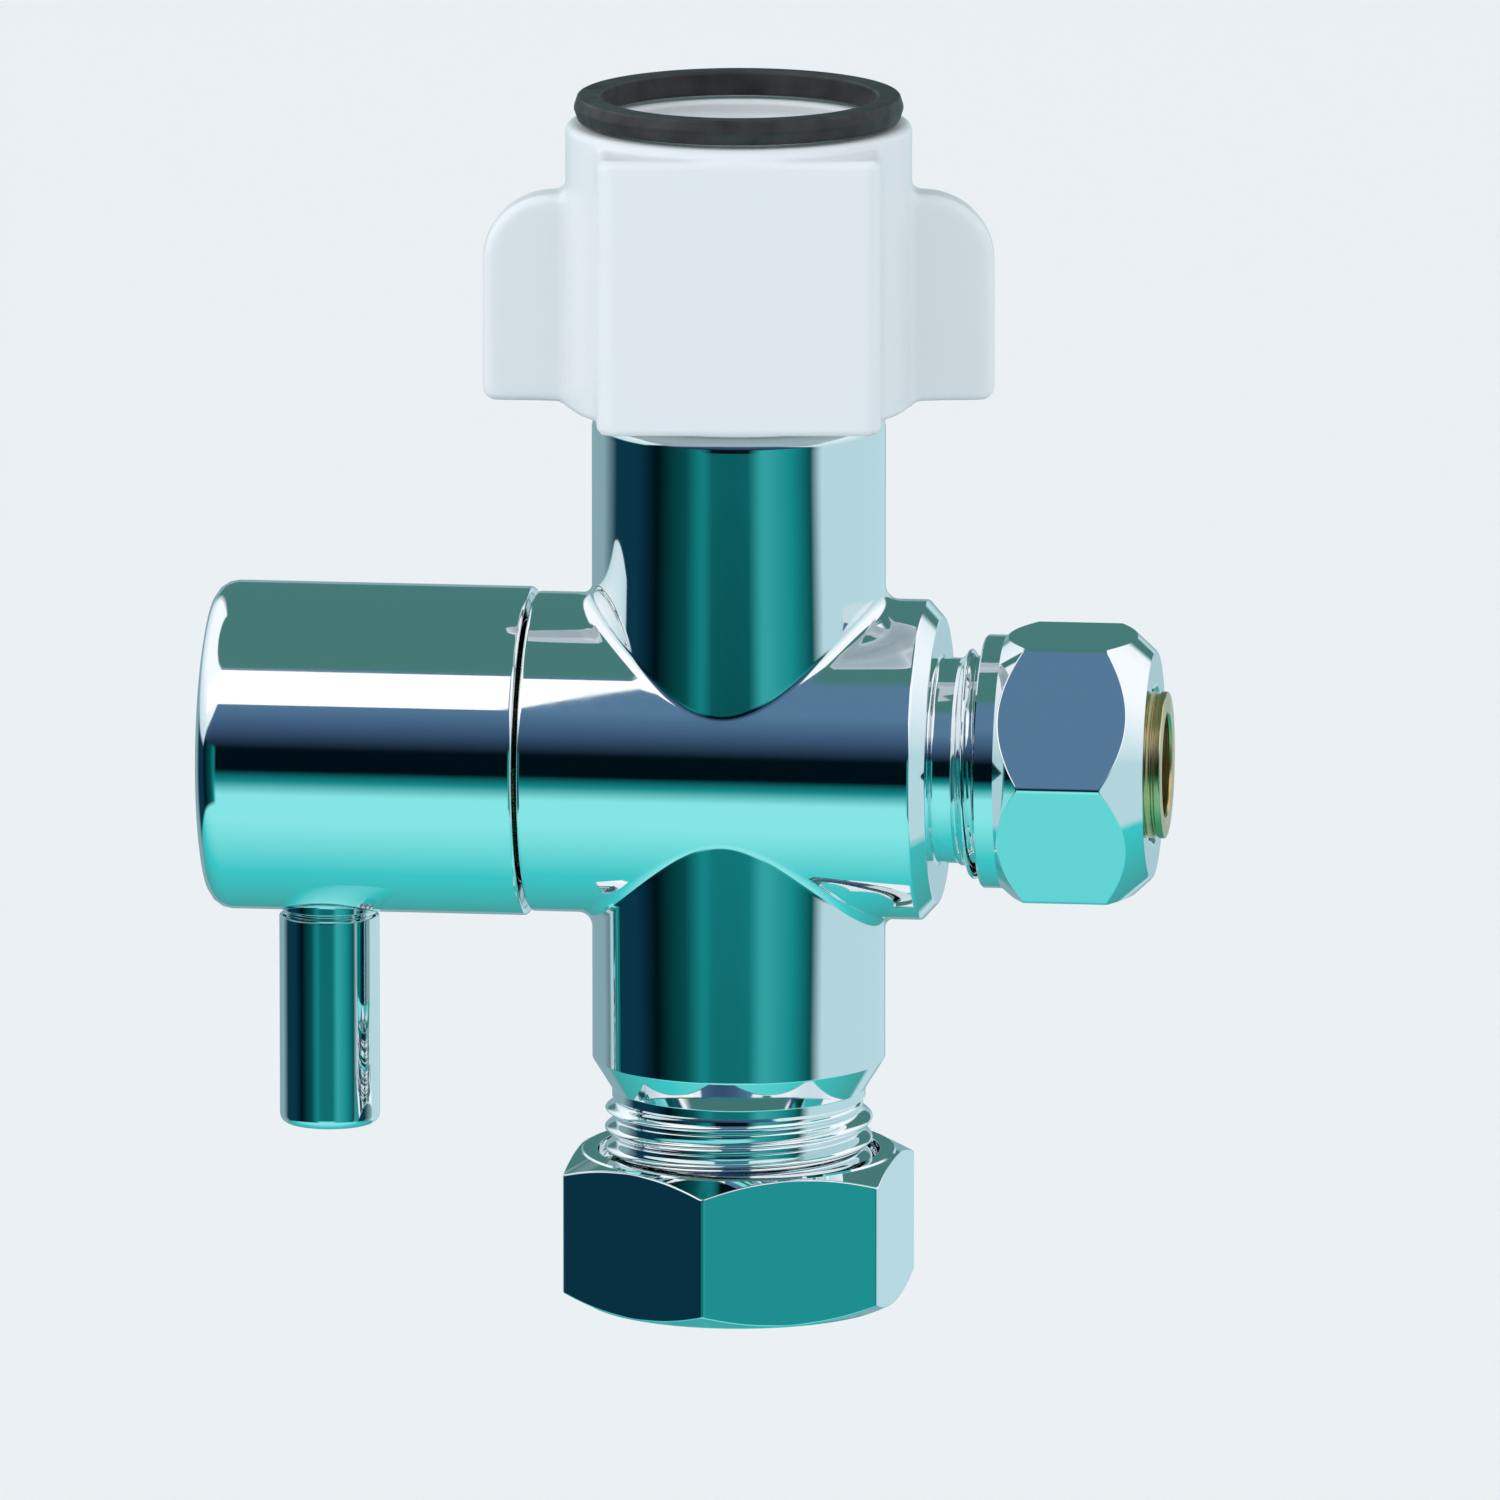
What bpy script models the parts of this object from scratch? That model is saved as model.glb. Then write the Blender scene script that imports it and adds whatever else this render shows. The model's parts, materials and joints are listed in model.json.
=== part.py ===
"""Tee-type angle stop valve with a quarter-turn knob, a captive tank nut and two hose nuts.

Metres, +Z up. The origin is the centre of the mouth ring's top, where the tank's shank enters.
Upright pieces are drawn by their height above the barrel's axis. Pieces that share the barrel's
axis are drawn along their own Z, by their reach from the tube's axis, and an empty on the joint's
axis turns that Z towards -X (the handle side) or +X (the outlet side).
"""
import math

import bmesh
import bpy

OBJECT_NAME = "angle_stop_valve"
GAP = 0.0003                # kept between neighbours that touch on the real valve
BARREL_Z = -0.0594          # the barrel's axis below the origin

# Valve body: tube and barrel
TUBE_R = 0.0130
TUBE_TOP = 0.0311
TUBE_FOOT = -0.0271
TUBE_FOOT_CHAMFER = 0.0028
BARREL_R = 0.0142
BARREL_LEFT = 0.0182        # reach of the barrel's open end, on the handle side
BARREL_RIGHT = 0.01665      # reach of the barrel's outlet end, before its chamfer
OUTLET_SHOULDER = 0.0180
EDGE = 0.0008               # chamfer of the body's turned edges
WATERWAY_R = 0.0065

# Top spigot that carries the tank nut
SPIGOT_R = 0.0095
SPIGOT_TOP = 0.0383
CLIP_GROOVE_R = 0.0086
CLIP_GROOVE = (0.0345, 0.0359)

# Inlet spigot, G 1/2 thread drawn as its outer cylinder
INLET_THREAD_R = 0.0119
INLET_NECK_R = 0.01125
INLET_THREAD_TOP = -0.0311
INLET_END = -0.0425

# Outlet spigot
OUTLET_THREAD_R = 0.01048
OUTLET_NECK_R = 0.0091
OUTLET_THREAD_START = 0.0202
OUTLET_END = 0.0305
OUTLET_BORE_R = 0.0055

# Cartridge chamber inside the barrel, by reach towards the handle
CHAMBER_R = 0.0090
CHAMBER_FLOOR = -0.0065
MOUTH_R = 0.0103
MOUTH_FLOOR = 0.0162
SEAT_R = 0.0045
SEAT_DEPTH = 0.0035

# Cartridge housing, by reach towards the handle
HOUSING_HEX_FLATS = 0.0190
HOUSING_HEX = (0.0185, 0.0215)
HOUSING_STEM_R = 0.0075
HOUSING_END = 0.0290
HOUSING_SEAL_NECK_R = 0.00835
HOUSING_THREAD = (0.0080, 0.0159)
HOUSING_THREAD_R = 0.0087
HOUSING_NOSE_R = 0.0080
HOUSING_NOSE_END = -0.0030
HOUSING_BORE_R = 0.0040
CAVITY_R = 0.0064
CAVITY_END = 0.0087
WINDOW = (0.0032, 0.0063)
WINDOW_WIDTH = 0.0080
KEYWAY_WIDTH = 0.0026
STOP_GAP_DEG = 112.0
STOP_RING_R = 0.0059
STOP_WALL_END = 0.0322

# Ceramic discs and seat seal
DISC_R = 0.0060
ROTATING_DISC = (0.0001, 0.0029)
FIXED_DISC = (-0.0030, -0.0002)
PORT_RADII = (0.0026, 0.0049)
PORT_SPREAD_DEG = 76.0
DISC_EAR_WIDTH = 0.0020
DISC_EAR_R = 0.0074
SEAT_SEAL = (-0.0062, -0.0033)
SEAT_SEAL_R = 0.0076

# Spindle, by reach towards the handle
SPINDLE_R = 0.00365
SPINDLE_FLANGE = (0.0066, 0.0076)
SPINDLE_BLADE_TIP = 0.0019
BLADE_HALF = (0.0050, 0.0015)
SLOT_HALF_WIDTH = 0.0018
SLOT_FLOOR = 0.0016
SEAL_GROOVE_R = 0.0024
SEAL_GROOVES = ((0.0120, 0.0136), (0.0160, 0.0176))
CIRCLIP_GROOVE = (0.0293, 0.0306)
CIRCLIP_GROOVE_R = 0.0029
SPLINE_START = 0.0306
SPINDLE_END = 0.0425
SPLINE_RADII = (0.0035, 0.00385)
SPLINE_TEETH = 20

# Knob and lever pin
KNOB_R = 0.0146
KNOB_OPEN_END = 0.0185
KNOB_CLOSED_END = 0.0469
KNOB_FILLET = 0.0020
SKIRT_R = 0.0115
SKIRT_FLOOR = 0.0330
BOSS_BORE_R = 0.0042
BOSS_BORE_END = 0.0430
PIN_REACH = 0.03665
PIN_R = 0.00445
PIN_TIP = 0.0340
PIN_SHOULDER = 0.0139
PIN_STUB_R = 0.0027
PIN_STUB_END = 0.0060
PIN_ROUNDING = 0.0007
GRUB_REACH = 0.0380
GRUB_R = 0.0020
GRUB_ENDS = (0.0045, 0.0105)
GRUB_SOCKET_R = 0.00115
GRUB_SOCKET_DEPTH = 0.0022

# Tank nut with two wings
NUT_R = 0.0153
NUT_HEIGHTS = (0.0315, 0.0569)
NUT_LIP_R = 0.0099
NUT_LIP_TOP = 0.0345
NUT_THREAD_R = 0.0113
NUT_PAD_HALF = (0.0125, 0.0158)
NUT_PAD_TOP = 0.0560
NUT_PAD_ROUNDING = 0.0015
WING_REACH = 0.0226
WING_HEIGHTS = (0.0322, 0.0507)
WING_HALF_THICKNESS = 0.0024
WING_TOP_CORNER = 0.0062
WING_FOOT_CORNER = 0.0010
NUT_TURN_DEG = 6.8          # how far the nut rests turned about the tube
MOUTH_RING_RADII = (0.0122, 0.0146)

# Hose nuts: (start, end) from the spigot's side outwards, along the spigot's axis
INLET_NUT = (-0.0355, -0.0490)
INLET_NUT_CORNER_R = 0.0165
INLET_NUT_TURN_DEG = -4.7
INLET_NUT_BORE_R = 0.0122
INLET_NUT_FLOOR = -0.0463
INLET_LIP_R = 0.0077
OUTLET_NUT = (0.0220, 0.0370)
OUTLET_NUT_CORNER_R = 0.01325
OUTLET_NUT_BORE_R = 0.01078
OUTLET_NUT_FLOOR = 0.0340
OUTLET_NUT_RING = 0.0018    # round ring left at the mouth, before the chamfer
OUTLET_NUT_INSET = 0.0012   # how far inside the flats the chamfer meets the outer end
OUTLET_NUT_SLOPE = 1.2      # chamfer's length along the axis for each unit of radius
OUTLET_LIP_R = 0.0069

# Flanged collars and flat washers inside the hose nuts
INLET_WASHER = (-0.0448, -0.0428)
INLET_FLANGE = (-0.0460, -0.0451)
INLET_RING_R = 0.0118
INLET_COLLAR_R = 0.0073
INLET_COLLAR_BORE_R = 0.0050
INLET_COLLAR_END = -0.0487
OUTLET_WASHER = (0.0308, 0.0328)
OUTLET_FLANGE = (0.0331, 0.0337)
OUTLET_RING_R = 0.0104
OUTLET_COLLAR_R = 0.0065
OUTLET_COLLAR_BORE_R = 0.0046
OUTLET_COLLAR_END = 0.0382

LARGE = 36                  # sides of the large round pieces
SMALL = 24                  # sides of the small round pieces
WIRE = 6                    # sides of an O-ring's section
OVERSHOOT = 0.0010          # how far a cutter passes through the face that it opens
SHARP_EDGE = math.radians(30)

parts = None
cutters = None
materials = {}


# Scene and materials ------------------------------------------------------------------------------

def clear_scene():
    """Remove every object that the file starts with."""
    for obj in list(bpy.data.objects):
        bpy.data.objects.remove(obj, do_unlink=True)


def new_collection(name):
    """Make a collection in the scene."""
    collection = bpy.data.collections.new(name)
    bpy.context.scene.collection.children.link(collection)
    return collection


def material(name, colour, roughness, metallic=0.0):
    """Return the Principled material of that name, made on first use."""
    if name not in materials:
        made = bpy.data.materials.new(name)
        made.use_nodes = True
        shader = made.node_tree.nodes["Principled BSDF"]
        shader.inputs["Base Color"].default_value = (*colour, 1.0)
        shader.inputs["Roughness"].default_value = roughness
        shader.inputs["Metallic"].default_value = metallic
        materials[name] = made
    return materials[name]


def chrome():
    return material("chrome", (0.80, 0.82, 0.83), 0.06, 1.0)


def brass():
    return material("brass", (0.72, 0.55, 0.28), 0.28, 1.0)


def steel():
    return material("spring_steel", (0.55, 0.56, 0.57), 0.30, 1.0)


def rubber():
    return material("black_rubber", (0.02, 0.02, 0.02), 0.60)


def white_plastic():
    return material("white_plastic", (0.86, 0.88, 0.88), 0.30)


def ceramic():
    return material("white_ceramic", (0.90, 0.89, 0.86), 0.15)


def glide_plastic():
    return material("glide_plastic", (0.85, 0.85, 0.82), 0.45)


# Shapes -------------------------------------------------------------------------------------------

def empty(name, turn_y=0.0, turn_z=0.0):
    """Make an empty where the tube's and the barrel's axes cross, turned about Y or Z."""
    pivot = bpy.data.objects.new(name, None)
    pivot.location = (0.0, 0.0, BARREL_Z)
    pivot.rotation_euler = (0.0, turn_y, turn_z)
    parts.objects.link(pivot)
    return pivot


def place(name, mesh, parent, as_cutter=False):
    """Make an object of a mesh that is drawn in its parent's frame."""
    obj = bpy.data.objects.new(name, mesh)
    obj.parent = parent
    if as_cutter:
        obj.hide_render = True
        obj.display_type = "WIRE"
        cutters.objects.link(obj)
    else:
        parts.objects.link(obj)
    return obj


def turned(name, profile, parent, steps=LARGE, as_cutter=False):
    """Turn a profile of (radius, height) points about Z.

    The points run down the outer side. A profile that starts off the axis is a closed ring's.
    """
    count = len(profile)
    edges = [(i, i + 1) for i in range(count - 1)]
    if profile[0][0] > 0.0:
        edges.append((count - 1, 0))
    mesh = bpy.data.meshes.new(name)
    mesh.from_pydata([(radius, 0.0, height) for radius, height in profile], edges, [])
    obj = place(name, mesh, parent, as_cutter)
    screw = obj.modifiers.new("turn", "SCREW")
    screw.axis = "Z"
    screw.steps = steps
    screw.render_steps = steps
    screw.use_merge_vertices = True
    screw.merge_threshold = 0.00001
    return obj


def prism(name, sides, radius, low, high, parent, as_cutter=False):
    """Make a regular prism along Z whose first corner is at +Y."""
    mesh = bpy.data.meshes.new(name)
    shape = bmesh.new()
    bmesh.ops.create_cone(shape, cap_ends=True, segments=sides, radius1=radius, radius2=radius,
                          depth=high - low)
    bmesh.ops.translate(shape, verts=shape.verts, vec=(0.0, 0.0, (low + high) / 2))
    shape.to_mesh(mesh)
    shape.free()
    return place(name, mesh, parent, as_cutter)


def block(name, low, high, parent, as_cutter=False):
    """Make a box from its lowest and highest corners."""
    mesh = bpy.data.meshes.new(name)
    shape = bmesh.new()
    bmesh.ops.create_cube(shape, size=1.0)
    size = [b - a for a, b in zip(low, high)]
    middle = [(a + b) / 2 for a, b in zip(low, high)]
    bmesh.ops.scale(shape, verts=shape.verts, vec=size)
    bmesh.ops.translate(shape, verts=shape.verts, vec=middle)
    shape.to_mesh(mesh)
    shape.free()
    return place(name, mesh, parent, as_cutter)


def plate(name, outline, low, high, parent, as_cutter=False):
    """Extrude a flat outline of (x, y) points along Z, from low to high."""
    curve = bpy.data.curves.new(name, "CURVE")
    curve.dimensions = "2D"
    curve.fill_mode = "BOTH"
    curve.extrude = (high - low) / 2
    spline = curve.splines.new("POLY")
    spline.points.add(len(outline) - 1)
    spline.use_cyclic_u = True
    for point, (x, y) in zip(spline.points, outline):
        point.co = (x, y, 0.0, 1.0)
    guide = bpy.data.objects.new(name + "_outline", curve)
    cutters.objects.link(guide)
    depsgraph = bpy.context.evaluated_depsgraph_get()
    mesh = bpy.data.meshes.new_from_object(guide.evaluated_get(depsgraph))
    bpy.data.objects.remove(guide, do_unlink=True)
    shape = bmesh.new()
    shape.from_mesh(mesh)
    bmesh.ops.remove_doubles(shape, verts=shape.verts, dist=0.000001)
    bmesh.ops.translate(shape, verts=shape.verts, vec=(0.0, 0.0, (low + high) / 2))
    shape.to_mesh(mesh)
    shape.free()
    return place(name, mesh, parent, as_cutter)


def arc(radius, start_deg, end_deg, steps, centre=(0.0, 0.0)):
    """List the points of an arc, both ends included."""
    points = []
    for i in range(steps + 1):
        angle = math.radians(start_deg + (end_deg - start_deg) * i / steps)
        points.append((centre[0] + radius * math.cos(angle), centre[1] + radius * math.sin(angle)))
    return points


def sector(radii, middle_deg, spread_deg, steps):
    """List the outline of a ring's sector between two radii."""
    start = middle_deg - spread_deg / 2
    end = middle_deg + spread_deg / 2
    return arc(radii[1], start, end, steps) + arc(radii[0], end, start, steps)


def washer(name, radii, heights, parent, steps=LARGE):
    """Turn a flat ring from its inner and outer radius and its low and high face."""
    inner, outer = radii
    low, high = heights
    return turned(name, [(outer, high), (outer, low), (inner, low), (inner, high)], parent, steps)


def o_ring(name, middle_radius, wire_radius, height, parent, steps):
    """Turn a round-section ring, its section drawn clockwise as seen from -Y."""
    section = arc(wire_radius, 90, -270, WIRE, (middle_radius, height))[:-1]
    return turned(name, section, parent, steps)


def boolean(target, tool, operation):
    """Cut, join or trim the target with another closed solid."""
    modifier = target.modifiers.new(tool.name, "BOOLEAN")
    modifier.operation = operation
    modifier.object = tool
    return target


def cut(target, tool):
    return boolean(target, tool, "DIFFERENCE")


def join(target, tool):
    return boolean(target, tool, "UNION")


def trim(target, tool):
    return boolean(target, tool, "INTERSECT")


def settle(obj, finish):
    """Apply the object's modifiers, give it its material and shade it smooth between its edges."""
    depsgraph = bpy.context.evaluated_depsgraph_get()
    mesh = bpy.data.meshes.new_from_object(obj.evaluated_get(depsgraph))
    obj.modifiers.clear()
    obj.data = mesh
    mesh.name = obj.name
    mesh.materials.clear()
    mesh.materials.append(finish)
    mesh.shade_smooth()
    mesh.set_sharp_from_angle(angle=SHARP_EDGE)
    return obj


# Pieces fixed to the body -------------------------------------------------------------------------

def make_valve_body(upright, outlet):
    """Cross a tube and a barrel, then bore the waterway and the cartridge chamber."""
    top, foot = SPIGOT_TOP, INLET_END
    groove_low, groove_high = CLIP_GROOVE
    tube = turned("valve_body", [
        (0.0, top), (SPIGOT_R - EDGE / 2, top), (SPIGOT_R, top - EDGE / 2),
        (SPIGOT_R, groove_high), (CLIP_GROOVE_R, groove_high),
        (CLIP_GROOVE_R, groove_low), (SPIGOT_R, groove_low), (SPIGOT_R, TUBE_TOP),
        (TUBE_R - EDGE, TUBE_TOP), (TUBE_R, TUBE_TOP - EDGE),
        (TUBE_R, TUBE_FOOT), (INLET_NECK_R, TUBE_FOOT - TUBE_FOOT_CHAMFER),
        (INLET_NECK_R, INLET_THREAD_TOP + EDGE), (INLET_THREAD_R, INLET_THREAD_TOP),
        (INLET_THREAD_R, foot + EDGE), (INLET_THREAD_R - EDGE, foot), (0.0, foot)], upright)
    barrel = turned("barrel", [
        (0.0, OUTLET_END), (OUTLET_THREAD_R - EDGE, OUTLET_END),
        (OUTLET_THREAD_R, OUTLET_END - EDGE), (OUTLET_THREAD_R, OUTLET_THREAD_START),
        (OUTLET_NECK_R, OUTLET_THREAD_START - EDGE), (OUTLET_NECK_R, OUTLET_SHOULDER),
        (BARREL_R - 2 * EDGE, OUTLET_SHOULDER), (BARREL_R, BARREL_RIGHT),
        (BARREL_R, EDGE / 2 - BARREL_LEFT), (BARREL_R - EDGE / 2, -BARREL_LEFT),
        (0.0, -BARREL_LEFT)], outlet, as_cutter=True)
    waterway = prism("waterway", SMALL, WATERWAY_R, foot - OVERSHOOT, top + OVERSHOOT, upright,
                     as_cutter=True)
    seat_start = -CHAMBER_FLOOR
    chamber = turned("chamber", [
        (0.0, OUTLET_END + OVERSHOOT), (OUTLET_BORE_R, OUTLET_END + OVERSHOOT),
        (OUTLET_BORE_R, seat_start + SEAT_DEPTH), (SEAT_R, seat_start + SEAT_DEPTH),
        (SEAT_R, seat_start), (CHAMBER_R, seat_start), (CHAMBER_R, -MOUTH_FLOOR),
        (MOUTH_R, -MOUTH_FLOOR), (MOUTH_R, -BARREL_LEFT - OVERSHOOT),
        (0.0, -BARREL_LEFT - OVERSHOOT)], outlet, as_cutter=True)
    join(tube, barrel)
    cut(tube, waterway)
    cut(tube, chamber)
    settle(tube, chrome())


def make_retaining_clip(upright):
    """Make the open snap ring that holds the tank nut on its spigot."""
    low = CLIP_GROOVE[0] + GAP
    outline = sector((CLIP_GROOVE_R + GAP, 0.0109), 90, 322, LARGE)
    settle(plate("retaining_clip", outline, low, low + 0.0008, upright), steel())


def make_tank_washer(upright):
    """Turn the cone washer that seals the tank's shank on the spigot's end."""
    low = SPIGOT_TOP + GAP
    profile = [(0.0085, low + 0.0042), (0.0110, low + 0.0013), (0.0110, low),
               (WATERWAY_R, low), (WATERWAY_R, low + 0.0042)]
    settle(turned("tank_washer", profile, upright), rubber())


def make_cartridge_housing(handle):
    """Turn the cartridge's brass housing, with its hexagon, side windows and stop wall."""
    hex_low, hex_high = HOUSING_HEX
    thread_low, thread_high = HOUSING_THREAD
    housing = turned("cartridge_housing", [
        (0.0, HOUSING_END), (HOUSING_STEM_R, HOUSING_END), (HOUSING_STEM_R, hex_high - EDGE),
        (HOUSING_SEAL_NECK_R, hex_high - EDGE), (HOUSING_SEAL_NECK_R, thread_high),
        (HOUSING_THREAD_R, thread_high), (HOUSING_THREAD_R, thread_low),
        (HOUSING_NOSE_R, thread_low), (HOUSING_NOSE_R, HOUSING_NOSE_END),
        (0.0, HOUSING_NOSE_END)], handle)
    corner_r = HOUSING_HEX_FLATS / math.sqrt(3)
    hexagon = prism("housing_hexagon", 6, corner_r, hex_low, hex_high, handle, as_cutter=True)
    wall = plate("stop_wall", sector((STOP_RING_R, HOUSING_STEM_R), 45, 360 - STOP_GAP_DEG, SMALL),
                 HOUSING_END - EDGE, STOP_WALL_END, handle, as_cutter=True)
    bore = turned("housing_bore", [
        (0.0, HOUSING_END + OVERSHOOT), (HOUSING_BORE_R, HOUSING_END + OVERSHOOT),
        (HOUSING_BORE_R, CAVITY_END), (CAVITY_R, CAVITY_END),
        (CAVITY_R, HOUSING_NOSE_END - OVERSHOOT), (0.0, HOUSING_NOSE_END - OVERSHOOT)],
        handle, SMALL, as_cutter=True)
    windows = block("housing_windows", (-HOUSING_THREAD_R, -WINDOW_WIDTH / 2, WINDOW[0]),
                    (HOUSING_THREAD_R, WINDOW_WIDTH / 2, WINDOW[1]), handle, as_cutter=True)
    keyway = block("housing_keyway",
                   (-KEYWAY_WIDTH / 2, -HOUSING_THREAD_R, HOUSING_NOSE_END - OVERSHOOT),
                   (KEYWAY_WIDTH / 2, HOUSING_THREAD_R, FIXED_DISC[1] + GAP), handle,
                   as_cutter=True)
    join(housing, hexagon)
    join(housing, wall)
    cut(housing, bore)
    cut(housing, windows)
    cut(housing, keyway)
    settle(housing, brass())


def make_disc(name, heights, port_middle_deg, handle):
    """Make a ceramic disc with two opposite sector ports."""
    low, high = heights
    disc = prism(name, SMALL, DISC_R, low, high, handle)
    for side in (0, 180):
        port = plate(f"{name}_port_{side}",
                     sector(PORT_RADII, port_middle_deg + side, PORT_SPREAD_DEG, 6),
                     low - OVERSHOOT, high + OVERSHOOT, handle, as_cutter=True)
        cut(disc, port)
    return disc


def make_fixed_disc(handle):
    """Key the fixed disc to the housing with two ears, its ports facing up and down."""
    low, high = FIXED_DISC
    disc = make_disc("fixed_ceramic_disc", FIXED_DISC, 0, handle)
    for side in (-1, 1):
        near, far = sorted((side * (DISC_R - EDGE), side * DISC_EAR_R))
        ear = block(f"disc_ear_{side}", (-DISC_EAR_WIDTH / 2, near, low + EDGE / 4),
                    (DISC_EAR_WIDTH / 2, far, high - EDGE / 4), handle, as_cutter=True)
        join(disc, ear)
    settle(disc, ceramic())


def make_housing_seals(handle):
    """Make the O-ring under the hexagon and the lipped seal between the disc and its seat."""
    middle_r = (HOUSING_SEAL_NECK_R + MOUTH_R) / 2
    wire_r = (MOUTH_R - HOUSING_SEAL_NECK_R) / 2 - GAP
    height = (HOUSING_HEX[0] + HOUSING_THREAD[1]) / 2
    settle(o_ring("housing_o_ring", middle_r, wire_r, height, handle, LARGE), rubber())
    low, high = SEAT_SEAL
    outer = SEAT_SEAL_R
    seal = [(outer, high), (outer, low), (SEAT_R + GAP, low), (SEAT_R + GAP, high - EDGE),
            (SEAT_R + EDGE, high)]
    settle(turned("seat_seal", seal, handle, SMALL), rubber())


# Pieces that turn with the knob -------------------------------------------------------------------

def make_handle_knob(handle):
    """Turn the knob with its skirt and boss, and drill it for the pin and the grub screw."""
    fillet = arc(KNOB_FILLET, 90, 0, 4, (KNOB_R - KNOB_FILLET, KNOB_CLOSED_END - KNOB_FILLET))
    knob = turned("handle_knob", [
        (0.0, KNOB_CLOSED_END), *fillet, (KNOB_R, KNOB_OPEN_END + EDGE / 2),
        (KNOB_R - EDGE / 2, KNOB_OPEN_END), (SKIRT_R, KNOB_OPEN_END), (SKIRT_R, SKIRT_FLOOR),
        (BOSS_BORE_R, SKIRT_FLOOR), (BOSS_BORE_R, BOSS_BORE_END), (0.0, BOSS_BORE_END)], handle)
    pin_hole = turned("pin_hole", [
        (0.0, KNOB_R + OVERSHOOT), (PIN_R + GAP, KNOB_R + OVERSHOOT),
        (PIN_R + GAP, PIN_SHOULDER - GAP), (PIN_STUB_R + GAP, PIN_SHOULDER - GAP),
        (PIN_STUB_R + GAP, PIN_STUB_END - GAP), (0.0, PIN_STUB_END - GAP)],
        handle, SMALL, as_cutter=True)
    aim_pin(pin_hole)
    grub_hole = prism("grub_hole", SMALL, GRUB_R + GAP, BOSS_BORE_R - OVERSHOOT,
                      KNOB_R + OVERSHOOT, handle, as_cutter=True)
    aim_grub(grub_hole)
    cut(knob, pin_hole)
    cut(knob, grub_hole)
    settle(knob, chrome())


def aim_pin(obj):
    """Point a piece drawn along Z out of the knob's lower side."""
    obj.location = (0.0, 0.0, PIN_REACH)
    obj.rotation_euler = (0.0, -math.pi / 2, 0.0)


def aim_grub(obj):
    """Point a piece drawn along Z out of the knob's back."""
    obj.location = (0.0, 0.0, GRUB_REACH)
    obj.rotation_euler = (-math.pi / 2, 0.0, 0.0)


def make_lever_pin(handle):
    """Turn the lever pin with its round end and the stub that screws into the knob."""
    end = arc(PIN_ROUNDING, 90, 0, 3, (PIN_R - PIN_ROUNDING, PIN_TIP - PIN_ROUNDING))
    pin = turned("lever_pin", [
        (0.0, PIN_TIP), *end, (PIN_R, PIN_SHOULDER + EDGE / 2), (PIN_R - EDGE / 2, PIN_SHOULDER),
        (PIN_STUB_R, PIN_SHOULDER), (PIN_STUB_R, PIN_STUB_END), (0.0, PIN_STUB_END)],
        handle, SMALL)
    aim_pin(pin)
    settle(pin, chrome())


def make_grub_screw(handle):
    """Make the socket set screw that clamps the knob on the spindle."""
    low, high = GRUB_ENDS
    screw = prism("grub_screw", SMALL, GRUB_R, low, high, handle)
    aim_grub(screw)
    socket = prism("grub_socket", 6, GRUB_SOCKET_R, high - GRUB_SOCKET_DEPTH, high + OVERSHOOT,
                   handle, as_cutter=True)
    aim_grub(socket)
    cut(screw, socket)
    settle(screw, steel())


def make_spindle(handle):
    """Turn the spindle with its seal grooves, and join its drive blade and splines."""
    spindle = turned("spindle", spindle_profile(), handle, SMALL)
    half_length, half_width = BLADE_HALF
    blade = block("drive_blade", (-half_length, -half_width, SPINDLE_BLADE_TIP),
                  (half_length, half_width, SPINDLE_FLANGE[0] + EDGE / 2), handle,
                  as_cutter=True)
    splines = plate("splines", spline_outline(), SPLINE_START, SPINDLE_END, handle,
                    as_cutter=True)
    join(spindle, blade)
    join(spindle, splines)
    settle(spindle, brass())


def spindle_profile():
    """List the spindle's profile from its splined end down to its flange."""
    flange_low, flange_high = SPINDLE_FLANGE
    profile = [(0.0, SPLINE_START + EDGE), (CIRCLIP_GROOVE_R, SPLINE_START + EDGE),
               (CIRCLIP_GROOVE_R, CIRCLIP_GROOVE[0]), (SPINDLE_R, CIRCLIP_GROOVE[0])]
    for low, high in reversed(SEAL_GROOVES):
        profile += [(SPINDLE_R, high), (SEAL_GROOVE_R, high), (SEAL_GROOVE_R, low),
                    (SPINDLE_R, low)]
    profile += [(SPINDLE_R, flange_high), (DISC_R, flange_high), (DISC_R, flange_low),
                (0.0, flange_low)]
    return profile


def spline_outline():
    """List the outline of the splined end, one flat-topped tooth after the other."""
    points = []
    for tooth in range(SPLINE_TEETH):
        for share, radius in ((0.0, SPLINE_RADII[0]), (0.25, SPLINE_RADII[0]),
                              (0.5, SPLINE_RADII[1]), (0.75, SPLINE_RADII[1])):
            angle = 2 * math.pi * (tooth + share) / SPLINE_TEETH
            points.append((radius * math.cos(angle), radius * math.sin(angle)))
    return points


def make_rotating_disc(handle):
    """Slot the rotating disc for the spindle's blade, its ports level while the valve is shut."""
    disc = make_disc("rotating_ceramic_disc", ROTATING_DISC, 90, handle)
    slot = block("disc_slot", (-DISC_R - OVERSHOOT, -SLOT_HALF_WIDTH, SLOT_FLOOR),
                 (DISC_R + OVERSHOOT, SLOT_HALF_WIDTH, ROTATING_DISC[1] + OVERSHOOT), handle,
                 as_cutter=True)
    cut(disc, slot)
    settle(disc, ceramic())


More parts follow.
